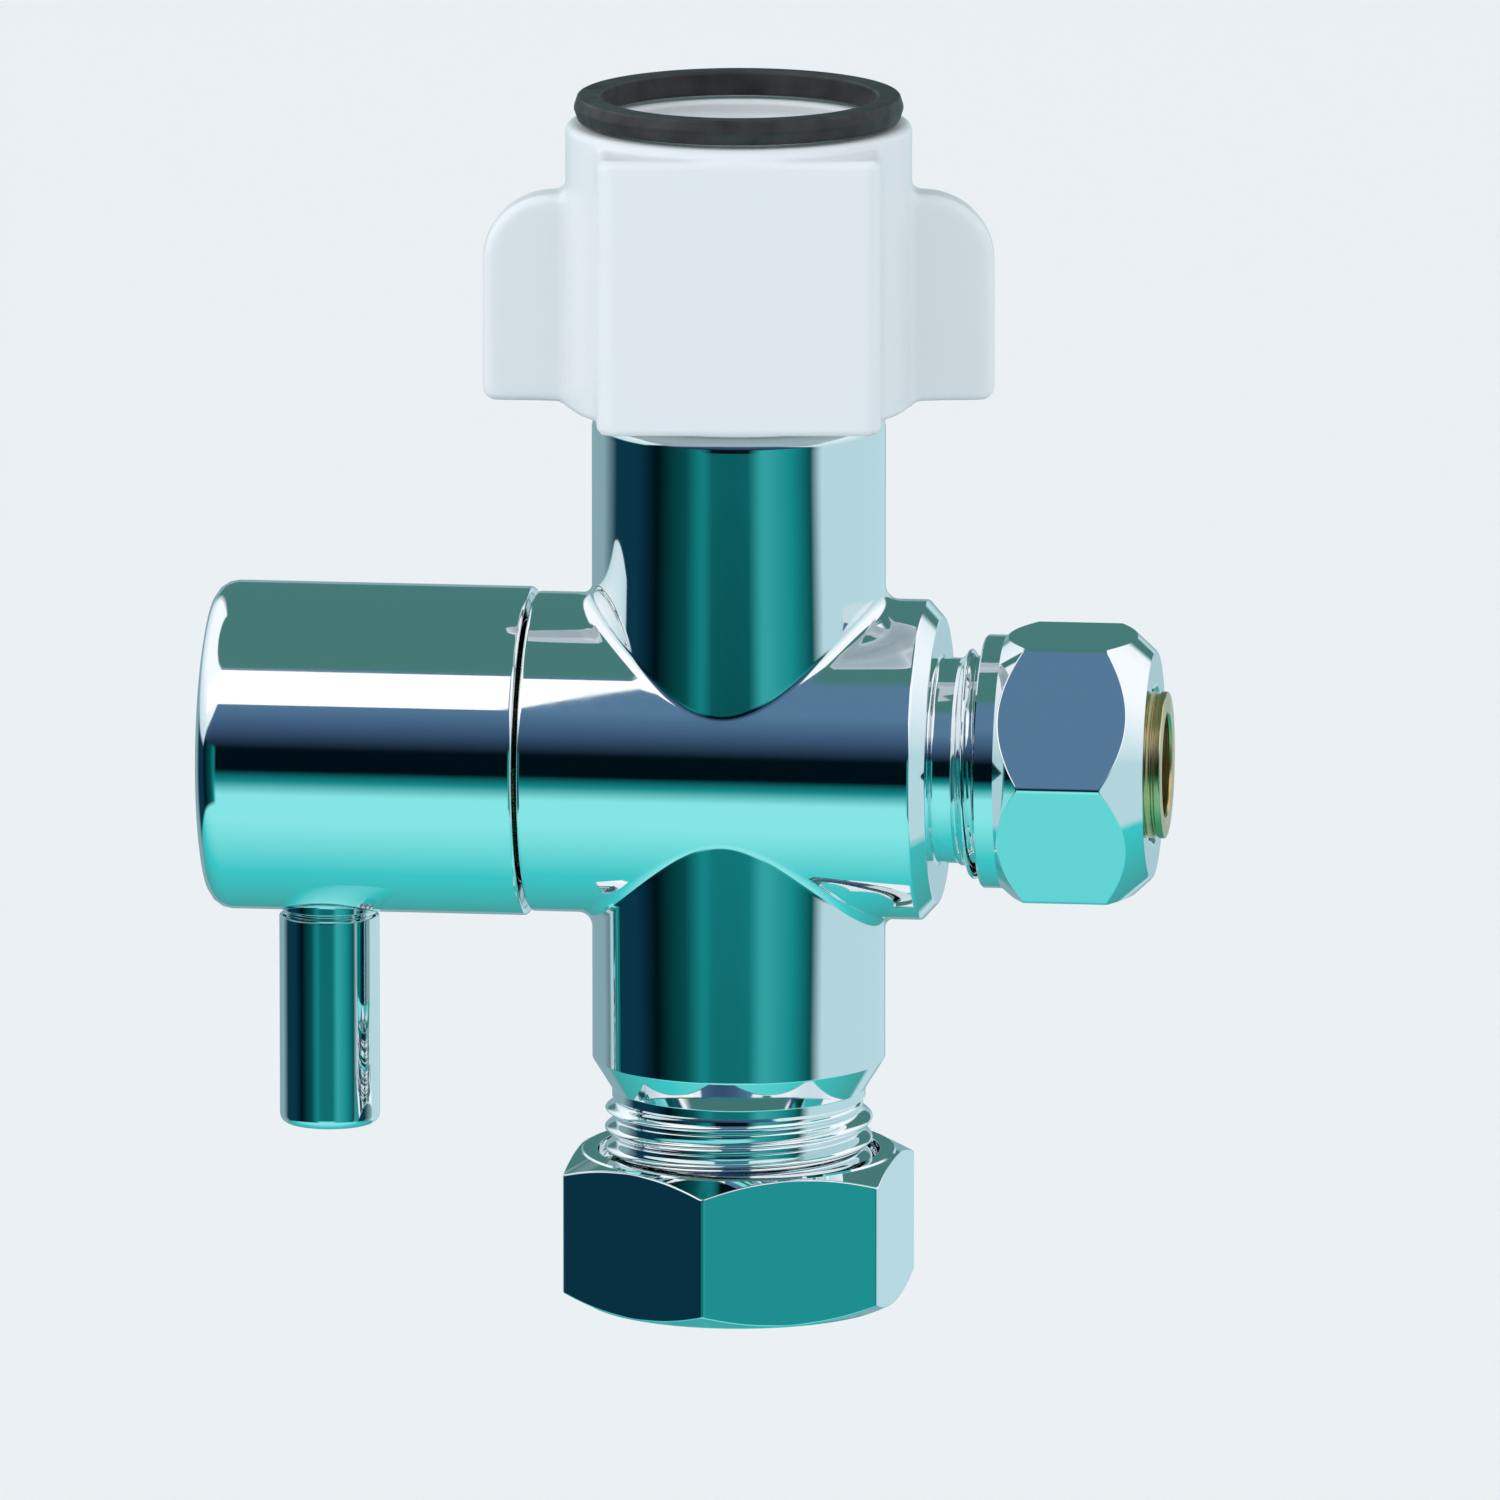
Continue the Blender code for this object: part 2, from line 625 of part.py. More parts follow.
def make_spindle_rings(handle):
    """Make the spindle's O-rings, its glide washer, circlip and stop ring."""
    wire_r = (HOUSING_BORE_R - SEAL_GROOVE_R) / 2 - GAP
    middle_r = SEAL_GROOVE_R + GAP + wire_r
    for name, (low, high) in zip(("spindle_o_ring_inner", "spindle_o_ring_outer"), SEAL_GROOVES):
        settle(o_ring(name, middle_r, wire_r, (low + high) / 2, handle, SMALL), rubber())
    glide = washer("glide_washer", (HOUSING_BORE_R, CAVITY_R - GAP),
                   (SPINDLE_FLANGE[1] + GAP, CAVITY_END - GAP), handle, SMALL)
    settle(glide, glide_plastic())
    clip = plate("spindle_circlip", sector((CIRCLIP_GROOVE_R + GAP, 0.0052), 0, 300, SMALL),
                 CIRCLIP_GROOVE[0] + GAP, CIRCLIP_GROOVE[1] - GAP, handle)
    settle(clip, steel())
    ring = washer("stop_ring", (SPLINE_RADII[1] + GAP, STOP_RING_R - GAP),
                  (SPLINE_START, STOP_WALL_END), handle, SMALL)
    tab = plate("stop_tab", sector((STOP_RING_R - EDGE, HOUSING_STEM_R - GAP), 180, 16, 2),
                SPLINE_START + EDGE / 2, STOP_WALL_END - EDGE / 4, handle, as_cutter=True)
    join(ring, tab)
    settle(ring, steel())


# Tank nut -----------------------------------------------------------------------------------------

def wing_outline():
    """List the outline of both wings, as seen from the front, with round top corners."""
    low, high = WING_HEIGHTS
    top_x, foot_x = WING_REACH - WING_TOP_CORNER, WING_REACH - WING_FOOT_CORNER
    right = arc(WING_FOOT_CORNER, -90, 0, 2, (foot_x, low + WING_FOOT_CORNER))
    right += arc(WING_TOP_CORNER, 0, 90, 6, (top_x, high - WING_TOP_CORNER))
    return right + [(-x, z) for x, z in reversed(right)]


def make_swivel_nut(swivel):
    """Join the nut's round body, its two flat pads and its two wings, and bore it."""
    low, high = NUT_HEIGHTS
    nut = turned("swivel_nut", [
        (0.0, high), (NUT_R - EDGE, high), (NUT_R, high - EDGE), (NUT_R, low + EDGE),
        (NUT_R - EDGE, low), (0.0, low)], swivel)
    pads = block("nut_pads", (-NUT_PAD_HALF[0], -NUT_PAD_HALF[1], low),
                 (NUT_PAD_HALF[0], NUT_PAD_HALF[1], NUT_PAD_TOP), swivel, as_cutter=True)
    round_edges = pads.modifiers.new("round_edges", "BEVEL")
    round_edges.width = NUT_PAD_ROUNDING
    round_edges.segments = 2
    wings = plate("nut_wings", wing_outline(), -WING_HALF_THICKNESS, WING_HALF_THICKNESS, swivel,
                  as_cutter=True)
    wings.rotation_euler = (math.pi / 2, 0.0, 0.0)
    bore = turned("nut_bore", [
        (0.0, high + OVERSHOOT), (NUT_THREAD_R + EDGE + OVERSHOOT, high + OVERSHOOT),
        (NUT_THREAD_R, high - EDGE), (NUT_THREAD_R, NUT_LIP_TOP), (NUT_LIP_R, NUT_LIP_TOP),
        (NUT_LIP_R, low - OVERSHOOT), (0.0, low - OVERSHOOT)], swivel, as_cutter=True)
    join(nut, pads)
    join(nut, wings)
    cut(nut, bore)
    settle(nut, white_plastic())
    ring = washer("mouth_seal_ring", MOUTH_RING_RADII, (high + GAP, -BARREL_Z), swivel)
    settle(ring, rubber())


# Hose nuts ----------------------------------------------------------------------------------------

def make_inlet_nut(upright):
    """Chamfer the inlet's hexagon nut and bore it, leaving a lip for the hose's collar."""
    top, foot = INLET_NUT
    nut = prism("inlet_nut", 6, INLET_NUT_CORNER_R, foot, top, upright)
    nut.rotation_euler = (0.0, 0.0, math.radians(INLET_NUT_TURN_DEG))
    flats_r = INLET_NUT_CORNER_R * math.cos(math.pi / 6)
    corner_r = INLET_NUT_CORNER_R + GAP
    outside = turned("inlet_nut_chamfer", [
        (0.0, top + OVERSHOOT), (flats_r - 2 * OVERSHOOT, top + OVERSHOOT),
        (corner_r, top - 2 * EDGE), (corner_r, foot + 2 * EDGE),
        (flats_r - 2 * OVERSHOOT, foot - OVERSHOOT), (0.0, foot - OVERSHOOT)], upright,
        as_cutter=True)
    bore = turned("inlet_nut_bore", [
        (0.0, top + OVERSHOOT), (INLET_NUT_BORE_R, top + OVERSHOOT),
        (INLET_NUT_BORE_R, INLET_NUT_FLOOR), (INLET_LIP_R, INLET_NUT_FLOOR),
        (INLET_LIP_R, foot - OVERSHOOT), (0.0, foot - OVERSHOOT)], upright, as_cutter=True)
    trim(nut, outside)
    cut(nut, bore)
    settle(nut, chrome())


def make_outlet_nut(outlet):
    """Chamfer the outlet's hexagon nut deeply at both ends and bore it."""
    start, end = OUTLET_NUT
    nut = prism("outlet_nut", 6, OUTLET_NUT_CORNER_R, start, end, outlet)
    flats_r = OUTLET_NUT_CORNER_R * math.cos(math.pi / 6)
    corner_r = OUTLET_NUT_CORNER_R + GAP
    end_r = flats_r - OUTLET_NUT_INSET
    ring_r = flats_r - OVERSHOOT / 4
    outside = turned("outlet_nut_chamfer", [
        (0.0, end), (end_r, end), (corner_r, end - (corner_r - end_r) * OUTLET_NUT_SLOPE),
        (corner_r, start + OUTLET_NUT_RING + (corner_r - ring_r) * OUTLET_NUT_SLOPE),
        (ring_r, start + OUTLET_NUT_RING), (ring_r, start), (0.0, start)], outlet,
        as_cutter=True)
    bore = turned("outlet_nut_bore", [
        (0.0, end + OVERSHOOT), (OUTLET_LIP_R, end + OVERSHOOT), (OUTLET_LIP_R, OUTLET_NUT_FLOOR),
        (OUTLET_NUT_BORE_R, OUTLET_NUT_FLOOR), (OUTLET_NUT_BORE_R, start - OVERSHOOT),
        (0.0, start - OVERSHOOT)], outlet, as_cutter=True)
    trim(nut, outside)
    cut(nut, bore)
    settle(nut, chrome())


def make_inlet_seals(upright):
    """Make the flat washer and the flanged collar that the inlet nut pulls onto the spigot."""
    settle(washer("inlet_washer", (WATERWAY_R, INLET_RING_R), INLET_WASHER, upright), rubber())
    flange_low, flange_high = INLET_FLANGE
    collar = turned("inlet_collar", [
        (INLET_RING_R, flange_high), (INLET_RING_R, flange_low), (INLET_COLLAR_R, flange_low),
        (INLET_COLLAR_R, INLET_COLLAR_END), (INLET_COLLAR_BORE_R, INLET_COLLAR_END),
        (INLET_COLLAR_BORE_R, flange_high)], upright)
    settle(collar, brass())


def make_outlet_seals(outlet):
    """Make the flat washer and the flanged collar that the outlet nut pulls onto the spigot."""
    ring_radii = (OUTLET_BORE_R, OUTLET_RING_R)
    settle(washer("outlet_washer", ring_radii, OUTLET_WASHER, outlet), rubber())
    flange_low, flange_high = OUTLET_FLANGE
    collar = turned("outlet_collar", [
        (OUTLET_COLLAR_R - EDGE / 4, OUTLET_COLLAR_END),
        (OUTLET_COLLAR_R, OUTLET_COLLAR_END - EDGE / 4), (OUTLET_COLLAR_R, flange_high),
        (OUTLET_RING_R, flange_high), (OUTLET_RING_R, flange_low),
        (OUTLET_COLLAR_BORE_R, flange_low), (OUTLET_COLLAR_BORE_R, OUTLET_COLLAR_END)], outlet)
    settle(collar, brass())


def main():
    global parts, cutters
    clear_scene()
    parts = new_collection(OBJECT_NAME)
    cutters = new_collection("cutters")
    quarter = math.pi / 2
    upright = empty("tube_axis")
    swivel = empty("swivel_axis", turn_z=math.radians(NUT_TURN_DEG))
    inlet = empty("inlet_axis")
    handle = empty("handle_axis", -quarter)
    outlet = empty("outlet_axis", quarter)

    make_valve_body(upright, outlet)
    make_retaining_clip(upright)
    make_tank_washer(upright)
    make_cartridge_housing(handle)
    make_fixed_disc(handle)
    make_housing_seals(handle)

    make_handle_knob(handle)
    make_lever_pin(handle)
    make_grub_screw(handle)
    make_spindle(handle)
    make_rotating_disc(handle)
    make_spindle_rings(handle)

    make_swivel_nut(swivel)
    make_inlet_nut(inlet)
    make_inlet_seals(inlet)
    make_outlet_nut(outlet)
    make_outlet_seals(outlet)


main()
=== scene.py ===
"""Looks of the tee-type angle stop valve: fine meshes, materials, light and camera.

Pieces on the tube's axis are drawn by their height above the barrel's axis. Pieces on the barrel's
axis are drawn along their own Z and turned to +X or -X. Sizes are in metres. What the frame can
say is read from it; the rest are the named values below.
"""
import json
import math

import bmesh
import bpy
import numpy as np
from mathutils import Matrix, Vector


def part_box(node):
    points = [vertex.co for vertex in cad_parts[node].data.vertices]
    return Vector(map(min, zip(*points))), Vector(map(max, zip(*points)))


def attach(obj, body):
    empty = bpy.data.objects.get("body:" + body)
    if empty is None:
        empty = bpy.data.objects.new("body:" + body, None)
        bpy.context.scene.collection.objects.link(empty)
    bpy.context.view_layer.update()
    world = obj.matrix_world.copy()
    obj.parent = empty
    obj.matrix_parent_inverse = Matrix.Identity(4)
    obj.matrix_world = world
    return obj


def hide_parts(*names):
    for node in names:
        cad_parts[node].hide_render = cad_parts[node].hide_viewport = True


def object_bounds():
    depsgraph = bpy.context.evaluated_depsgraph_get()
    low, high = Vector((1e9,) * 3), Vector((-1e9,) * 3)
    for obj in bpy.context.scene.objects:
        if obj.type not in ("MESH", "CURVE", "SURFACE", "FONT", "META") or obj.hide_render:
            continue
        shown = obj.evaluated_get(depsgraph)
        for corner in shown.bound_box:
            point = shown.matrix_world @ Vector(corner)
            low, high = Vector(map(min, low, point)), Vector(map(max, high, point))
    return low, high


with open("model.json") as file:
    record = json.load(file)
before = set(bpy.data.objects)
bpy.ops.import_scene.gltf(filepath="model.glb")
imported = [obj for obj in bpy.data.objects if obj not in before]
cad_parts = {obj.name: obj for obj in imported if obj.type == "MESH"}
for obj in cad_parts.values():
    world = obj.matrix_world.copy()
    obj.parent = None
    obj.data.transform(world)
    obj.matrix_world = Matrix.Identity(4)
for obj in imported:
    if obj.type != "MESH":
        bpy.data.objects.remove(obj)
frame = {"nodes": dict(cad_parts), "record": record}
cad_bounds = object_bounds()

# Driving sizes ------------------------------------------------------------------------------------

MM = 0.001
knob_low, knob_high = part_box("handle_knob")
body_low, body_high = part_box("valve_body")
AXIS_Z = (knob_low.z + knob_high.z) / 2          # height of the barrel's axis
BARREL_R = body_high.y
BARREL_LEFT = -body_low.x                        # reach of the barrel's open end
OUTLET_END = body_high.x
SPIGOT_TOP = body_high.z - AXIS_Z
INLET_END = body_low.z - AXIS_Z

TUBE_R = 13.0 * MM
TUBE_TOP = 31.1 * MM
TUBE_FOOT = -27.1 * MM
TUBE_FOOT_CHAMFER = 2.8 * MM
BARREL_RIGHT = 16.65 * MM
OUTLET_SHOULDER = 18.0 * MM
CAST_FILLET = 1.3 * MM                           # where the tube runs into the barrel
THREAD_PITCH = 25.4 * MM / 14
WATERWAY_R = 6.5 * MM

FINE = 192                                       # columns round a large turned piece
COARSE = 96                                      # columns round a small one
ROUND_STEPS = 4                                  # faces across a rounded edge
FLAT_COLUMNS = 28                                # faces along a hexagon's flat
SHARP_EDGE = math.radians(32)
FULL_TURN = 2 * math.pi


# Profiles -----------------------------------------------------------------------------------------

def rounded(corners, loop=False):
    """Round each (radius, height, rounding) corner; a corner with rounding None stays one point."""
    points = []
    count = len(corners)
    for i, (r, z, rounding) in enumerate(corners):
        corner = Vector((r, z))
        end_of_line = not loop and i in (0, count - 1)
        if rounding is None or end_of_line:
            points.append(corner)
            continue
        to_last = Vector(corners[i - 1][:2]) - corner
        to_next = Vector(corners[(i + 1) % count][:2]) - corner
        points += round_corner(corner, to_last, to_next, rounding)
    return [(p.x, p.y) for p in points]


def round_corner(corner, to_last, to_next, rounding):
    """List the points of an arc that touches both sides of a corner."""
    shortest = min(to_last.length, to_next.length)
    if shortest < 1e-7:
        return [corner.copy() for _ in range(ROUND_STEPS + 3)]
    u, v = to_last.normalized(), to_next.normalized()
    half = u.angle(v) / 2
    tangent = min(rounding / math.tan(half), 0.4 * shortest)
    radius = tangent * math.tan(half)
    centre = corner + (u + v).normalized() * radius / math.sin(half)
    start, end = corner + u * tangent - centre, corner + v * tangent - centre
    sweep = start.angle_signed(end)
    arc = []
    for step in range(ROUND_STEPS + 1):
        angle = -sweep * step / ROUND_STEPS
        turn_x = start.x * math.cos(angle) - start.y * math.sin(angle)
        turn_y = start.x * math.sin(angle) + start.y * math.cos(angle)
        arc.append(centre + Vector((turn_x, turn_y)))
    hold = tangent * 0.15
    return [corner + u * (tangent + hold), *arc, corner + v * (tangent + hold)]


def thread_rows(start, end, rows_per_turn=24):
    """List the heights of the rows that carry a thread, from start to end."""
    count = max(2, round(abs(end - start) / THREAD_PITCH * rows_per_turn))
    return [start + (end - start) * i / count for i in range(count + 1)]


def thread_radius(angle, height, crest, root, start, end):
    """Radius of a right-handed thread, which runs out near start and end."""
    share = 0.5 + 0.5 * math.cos(FULL_TURN * height / THREAD_PITCH - angle)
    from_end = min(abs(height - start), abs(height - end)) / (0.45 * THREAD_PITCH)
    return root + (crest - root) * share * min(from_end, 1.0)


def hex_corner_half_angle(flat_r, rounding):
    """Half the angle, seen from the axis, that a hexagon's rounded corner takes up."""
    centre = (flat_r - rounding) / math.cos(math.pi / 6)
    return math.atan2(rounding * 0.5, centre + rounding * math.cos(math.pi / 6))


def hex_angles(flat_r, rounding, turn=0.0):
    """List the column angles of a hexagon, with close columns on and beside its corners."""
    half = hex_corner_half_angle(flat_r, rounding)
    flat_span = math.pi / 3 - 2 * half
    shares = [0.0, 0.01, *(i / FLAT_COLUMNS for i in range(1, FLAT_COLUMNS)), 0.99]
    angles = []
    for side in range(6):
        corner = side * math.pi / 3 + turn
        angles += [corner + half * (i / 4 - 1) for i in range(8)]
        angles += [corner + half + flat_span * share for share in shares]
    return angles


def hex_radius(angle, flat_r, rounding, turn=0.0):
    """Radius of a hexagon with round corners, one of them at angle turn."""
    from_corner = (angle - turn + math.pi / 6) % (math.pi / 3) - math.pi / 6
    if abs(from_corner) < hex_corner_half_angle(flat_r, rounding):
        centre = (flat_r - rounding) / math.cos(math.pi / 6)
        across = centre * math.sin(from_corner)
        return centre * math.cos(from_corner) + math.sqrt(rounding ** 2 - across ** 2)
    return flat_r / math.cos(math.pi / 6 - abs(from_corner))


# Meshes -------------------------------------------------------------------------------------------

def grid_faces(columns, rows, first=0, wrap=True):
    """List the quads between neighbouring columns of vertices."""
    faces = []
    for i in range(columns if wrap else columns - 1):
        near, far = first + i * rows, first + (i + 1) % columns * rows
        for j in range(rows - 1):
            faces.append((near + j, near + j + 1, far + j + 1, far + j))
    return faces


def finish_mesh(name, vertices, faces):
    """Make an object from vertices and faces, with doubles merged and its faces facing out."""
    mesh = bpy.data.meshes.new(name)
    mesh.from_pydata([tuple(v) for v in vertices], [], faces)
    shape = bmesh.new()
    shape.from_mesh(mesh)
    bmesh.ops.remove_doubles(shape, verts=shape.verts, dist=1e-7)
    bmesh.ops.dissolve_degenerate(shape, dist=1e-8, edges=shape.edges)
    bmesh.ops.recalc_face_normals(shape, faces=shape.faces)
    shape.to_mesh(mesh)
    shape.free()
    obj = bpy.data.objects.new(name, mesh)
    bpy.context.scene.collection.objects.link(obj)
    shade(obj)
    return obj


def shade(obj):
    """Shade an object smooth between its edges."""
    obj.data.shade_smooth()
    obj.data.set_sharp_from_angle(angle=SHARP_EDGE)


def revolve(name, profile_at, angles=FINE):
    """Revolve a profile about Z; profile_at(angle) lists its (radius, height) points.

    A profile that starts on the axis also ends there; any other is a closed loop.
    """
    if isinstance(angles, int):
        angles = [FULL_TURN * i / angles for i in range(angles)]
    vertices = []
    for angle in angles:
        profile = profile_at(angle)
        if profile[0][0] > 1e-9:
            profile = profile + profile[:1]
        vertices += [(r * math.cos(angle), r * math.sin(angle), z) for r, z in profile]
    rows = len(vertices) // len(angles)
    return finish_mesh(name, vertices, grid_faces(len(angles), rows))


def turned(name, corners, angles=FINE):
    """Revolve one rounded profile of (radius, height, rounding) corners."""
    profile = rounded(corners, loop=corners[0][0] > 1e-9)
    return revolve(name, lambda angle: profile, angles)


def cut(target, *tools):
    """Cut closed tools out of a target, then remove them."""
    for tool in tools:
        modifier = target.modifiers.new(tool.name, "BOOLEAN")
        modifier.operation = "DIFFERENCE"
        modifier.object = tool
    depsgraph = bpy.context.evaluated_depsgraph_get()
    mesh = bpy.data.meshes.new_from_object(target.evaluated_get(depsgraph))
    target.modifiers.clear()
    target.data = mesh
    for tool in tools:
        bpy.data.objects.remove(tool)
    shade(target)


def on_tube(obj):
    """Put a piece that is drawn about the tube's axis in its place."""
    obj.location = (0.0, 0.0, AXIS_Z)
    return obj


def on_barrel(obj, side):
    """Turn a piece that is drawn along Z to +X (side 1) or -X (side -1)."""
    obj.location = (0.0, 0.0, AXIS_Z)
    obj.rotation_euler = (0.0, side * math.pi / 2, 0.0)
    return obj


def install(piece, body, slot, finish, *nodes):
    """Give a piece its body, its material and the CAD nodes that it stands for."""
    piece.data.materials.clear()
    piece.data.materials.append(finish)
    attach(piece, body)
    if nodes:
        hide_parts(*nodes)
    return piece


# Valve body ---------------------------------------------------------------------------------------

FILLET_COLUMNS = 256
FILLET_STEPS = 8
BAND_STEPS = 24
REACH_STEPS = 10
INLET_THREAD_R = 11.9 * MM
INLET_ROOT_R = 10.9 * MM
INLET_NECK_R = 11.25 * MM
INLET_THREAD_TOP = -31.0 * MM
OUTLET_THREAD_R = 10.48 * MM
OUTLET_ROOT_R = 9.3 * MM
OUTLET_NECK_R = 9.1 * MM
OUTLET_THREAD_START = 20.1 * MM
SPIGOT_R = 9.5 * MM
CLIP_GROOVE_R = 8.6 * MM
CLIP_GROOVE = (34.5 * MM, 35.9 * MM)
OUTLET_BORE_R = 5.5 * MM
SEAT_BORE_R = 4.5 * MM
CHAMBER_R = 9.0 * MM
CHAMBER_MOUTH_R = 10.3 * MM
OUTLET_BORE_FOOT = 10.0 * MM                     # reaches along the barrel, from the tube's axis
CHAMBER_FOOT = 6.5 * MM
CHAMBER_STEP = -16.2 * MM


def fillet_curve(angle):
    """Point where a ball of the fillet's size touches the tube, its centre, and where it touches
    the barrel, on the tube's upper side at that angle round the tube."""
    around = TUBE_R + CAST_FILLET
    height = math.sqrt((BARREL_R + CAST_FILLET) ** 2 - (around * math.sin(angle)) ** 2)
    centre = Vector((around * math.cos(angle), around * math.sin(angle), height))
    on_the_tube = Vector((TUBE_R * math.cos(angle), TUBE_R * math.sin(angle), height))
    share = BARREL_R / (BARREL_R + CAST_FILLET)
    on_the_barrel = Vector((centre.x, centre.y * share, centre.z * share))
    return on_the_tube, centre, on_the_barrel


def fillet_points(angle, upward):
    """List the points down a fillet column, from the tube to the barrel."""
    start, centre, end = fillet_curve(angle)
    from_start, from_end = start - centre, end - centre
    points = []
    for step in range(FILLET_STEPS + 1):
        point = centre + CAST_FILLET * from_start.slerp(from_end, step / FILLET_STEPS)
        points.append(Vector((point.x, point.y, upward * point.z)))
    return points


def tube_columns(profile_at, upward):
    """Make the vertices and faces of the tube above (1) or below (-1) the barrel."""
    vertices = []
    for i in range(FILLET_COLUMNS):
        angle = FULL_TURN * i / FILLET_COLUMNS
        x, y = math.cos(angle), math.sin(angle)
        column = [Vector((r * x, r * y, z)) for r, z in profile_at(angle)]
        vertices += column + fillet_points(angle, upward)
    rows = len(vertices) // FILLET_COLUMNS
    return vertices, grid_faces(FILLET_COLUMNS, rows)


def barrel_starts():
    """List where each row of the barrel's skin starts, going once round the barrel.

    Rows start on the fillets' feet above and below, and on the front and back middle lines.
    """
    half = FILLET_COLUMNS // 2
    upper = [fillet_curve(math.pi * (i / half - 0.5))[2] for i in range(half + 1)]
    lower = [Vector((p.x, p.y, -p.z)) for p in reversed(upper)]
    front_angle = math.atan2(upper[0].z, upper[0].y)
    back_angle = math.pi - front_angle
    starts = list(upper)
    starts += band(back_angle, -back_angle)
    starts += lower
    starts += band(-front_angle, front_angle - FULL_TURN)
    return starts


def band(start, end):
    """List the points on the barrel's middle line between two angles about its axis."""
    points = []
    for step in range(1, BAND_STEPS):
        angle = start + (end - start) * step / BAND_STEPS
        points.append(Vector((0.0, BARREL_R * math.cos(angle), BARREL_R * math.sin(angle))))
    return points


def barrel_rows(side, ring_x, profile_at):
    """Make the barrel's skin on one side (1 is +X), from its starts to its end's profile."""
    starts = barrel_starts()
    vertices = []
    for start in starts:
        angle = math.atan2(start.z, start.y)
        y, z = math.cos(angle), math.sin(angle)
        for step in range(REACH_STEPS + 1):
            share = step / REACH_STEPS
            x = side * (abs(start.x) + (ring_x - abs(start.x)) * share)
            vertices.append(Vector((x, start.y, start.z)))
        for r, reach in profile_at(angle):
            vertices.append(Vector((side * reach, r * y, r * z)))
    rows = len(vertices) // len(starts)
    return vertices, grid_faces(len(starts), rows)


def outlet_profile(angle):
    """Profile of the barrel's right end: shoulder, neck and threaded spigot."""
    corners = [(BARREL_R, BARREL_RIGHT - 0.8 * MM, None), (BARREL_R, BARREL_RIGHT, 0.35 * MM),
               (BARREL_R - 1.5 * MM, OUTLET_SHOULDER, 0.25 * MM),
               (OUTLET_NECK_R, OUTLET_SHOULDER, 0.3 * MM)]
    thread_start, thread_end = OUTLET_THREAD_START, OUTLET_END - 0.7 * MM
    corners.append((OUTLET_NECK_R, thread_start - 0.3 * MM, None))
    for reach in thread_rows(thread_start, thread_end):
        radius = thread_radius(angle, reach, OUTLET_THREAD_R, OUTLET_ROOT_R, thread_start,
                               thread_end)
        corners.append((radius, reach, None))
    corners += [(OUTLET_ROOT_R - 0.4 * MM, OUTLET_END, None), (0.0, OUTLET_END, None)]
    return rounded(corners)


def open_end_profile(_angle):
    """Profile of the barrel's left end, which faces the knob."""
    return rounded([(BARREL_R, BARREL_LEFT - 1.0 * MM, None), (BARREL_R, BARREL_LEFT, 0.35 * MM),
                    (BARREL_R - 2.0 * MM, BARREL_LEFT, None), (0.0, BARREL_LEFT, None)])


def upper_profile(_angle):
    """Profile of the tube's top: spigot, clip groove and shoulder."""
    groove_low, groove_high = CLIP_GROOVE
    return rounded([
        (0.0, SPIGOT_TOP, None), (SPIGOT_R, SPIGOT_TOP, 0.4 * MM),
        (SPIGOT_R, groove_high, 0.1 * MM), (CLIP_GROOVE_R, groove_high, 0.1 * MM),
        (CLIP_GROOVE_R, groove_low, 0.1 * MM), (SPIGOT_R, groove_low, 0.1 * MM),
        (SPIGOT_R, TUBE_TOP, 0.3 * MM), (TUBE_R, TUBE_TOP, 1.4 * MM),
        (TUBE_R, TUBE_TOP - 4.0 * MM, None)])


def lower_profile(angle):
    """Profile of the tube's foot: threaded spigot, neck and shoulder, from the foot up."""
    thread_start, thread_end = INLET_END + 0.7 * MM, INLET_THREAD_TOP
    corners = [(0.0, INLET_END, None), (INLET_ROOT_R - 0.4 * MM, INLET_END, None)]
    for height in thread_rows(thread_start, thread_end):
        radius = thread_radius(angle, height, INLET_THREAD_R, INLET_ROOT_R, thread_start,
                               thread_end)
        corners.append((radius, height, None))
    corners += [(INLET_NECK_R, thread_end + 0.35 * MM, None),
                (INLET_NECK_R, TUBE_FOOT - TUBE_FOOT_CHAMFER, 0.2 * MM),
                (TUBE_R, TUBE_FOOT, 0.3 * MM),
                (TUBE_R, TUBE_FOOT + 3.0 * MM, None)]
    return rounded(corners)


def make_body(chrome):
    """Build the body's skin as one closed mesh, then bore the waterway and the chamber."""
    vertices, faces = [], []
    sections = (tube_columns(upper_profile, 1), tube_columns(lower_profile, -1),
                barrel_rows(1, BARREL_RIGHT - 1.2 * MM, outlet_profile),
                barrel_rows(-1, BARREL_LEFT - 1.6 * MM, open_end_profile))
    for section_vertices, section_faces in sections:
        first = len(vertices)
        vertices += section_vertices
        faces += [tuple(first + i for i in face) for face in section_faces]
    body = finish_mesh("body_casting", vertices, faces)
    waterway = turned("waterway", [
        (0.0, SPIGOT_TOP + MM, None), (WATERWAY_R + 1.4 * MM, SPIGOT_TOP + MM, None),
        (WATERWAY_R, SPIGOT_TOP - 0.4 * MM, None), (WATERWAY_R, INLET_END + 0.4 * MM, None),
        (WATERWAY_R + 1.4 * MM, INLET_END - MM, None), (0.0, INLET_END - MM, None)], COARSE)
    chamber = turned("chamber", [
        (0.0, OUTLET_END + MM, None), (OUTLET_BORE_R, OUTLET_END + MM, None),
        (OUTLET_BORE_R, OUTLET_BORE_FOOT, None), (SEAT_BORE_R, OUTLET_BORE_FOOT, None),
        (SEAT_BORE_R, CHAMBER_FOOT, None), (CHAMBER_R, CHAMBER_FOOT, None),
        (CHAMBER_R, CHAMBER_STEP, None), (CHAMBER_MOUTH_R, CHAMBER_STEP, None),
        (CHAMBER_MOUTH_R, -BARREL_LEFT - MM, None), (0.0, -BARREL_LEFT - MM, None)], COARSE)
    chamber.rotation_euler = (0.0, math.pi / 2, 0.0)
    cut(body, waterway, chamber)
    install(on_tube(body), "root", "chrome_plate", chrome, "valve_body")


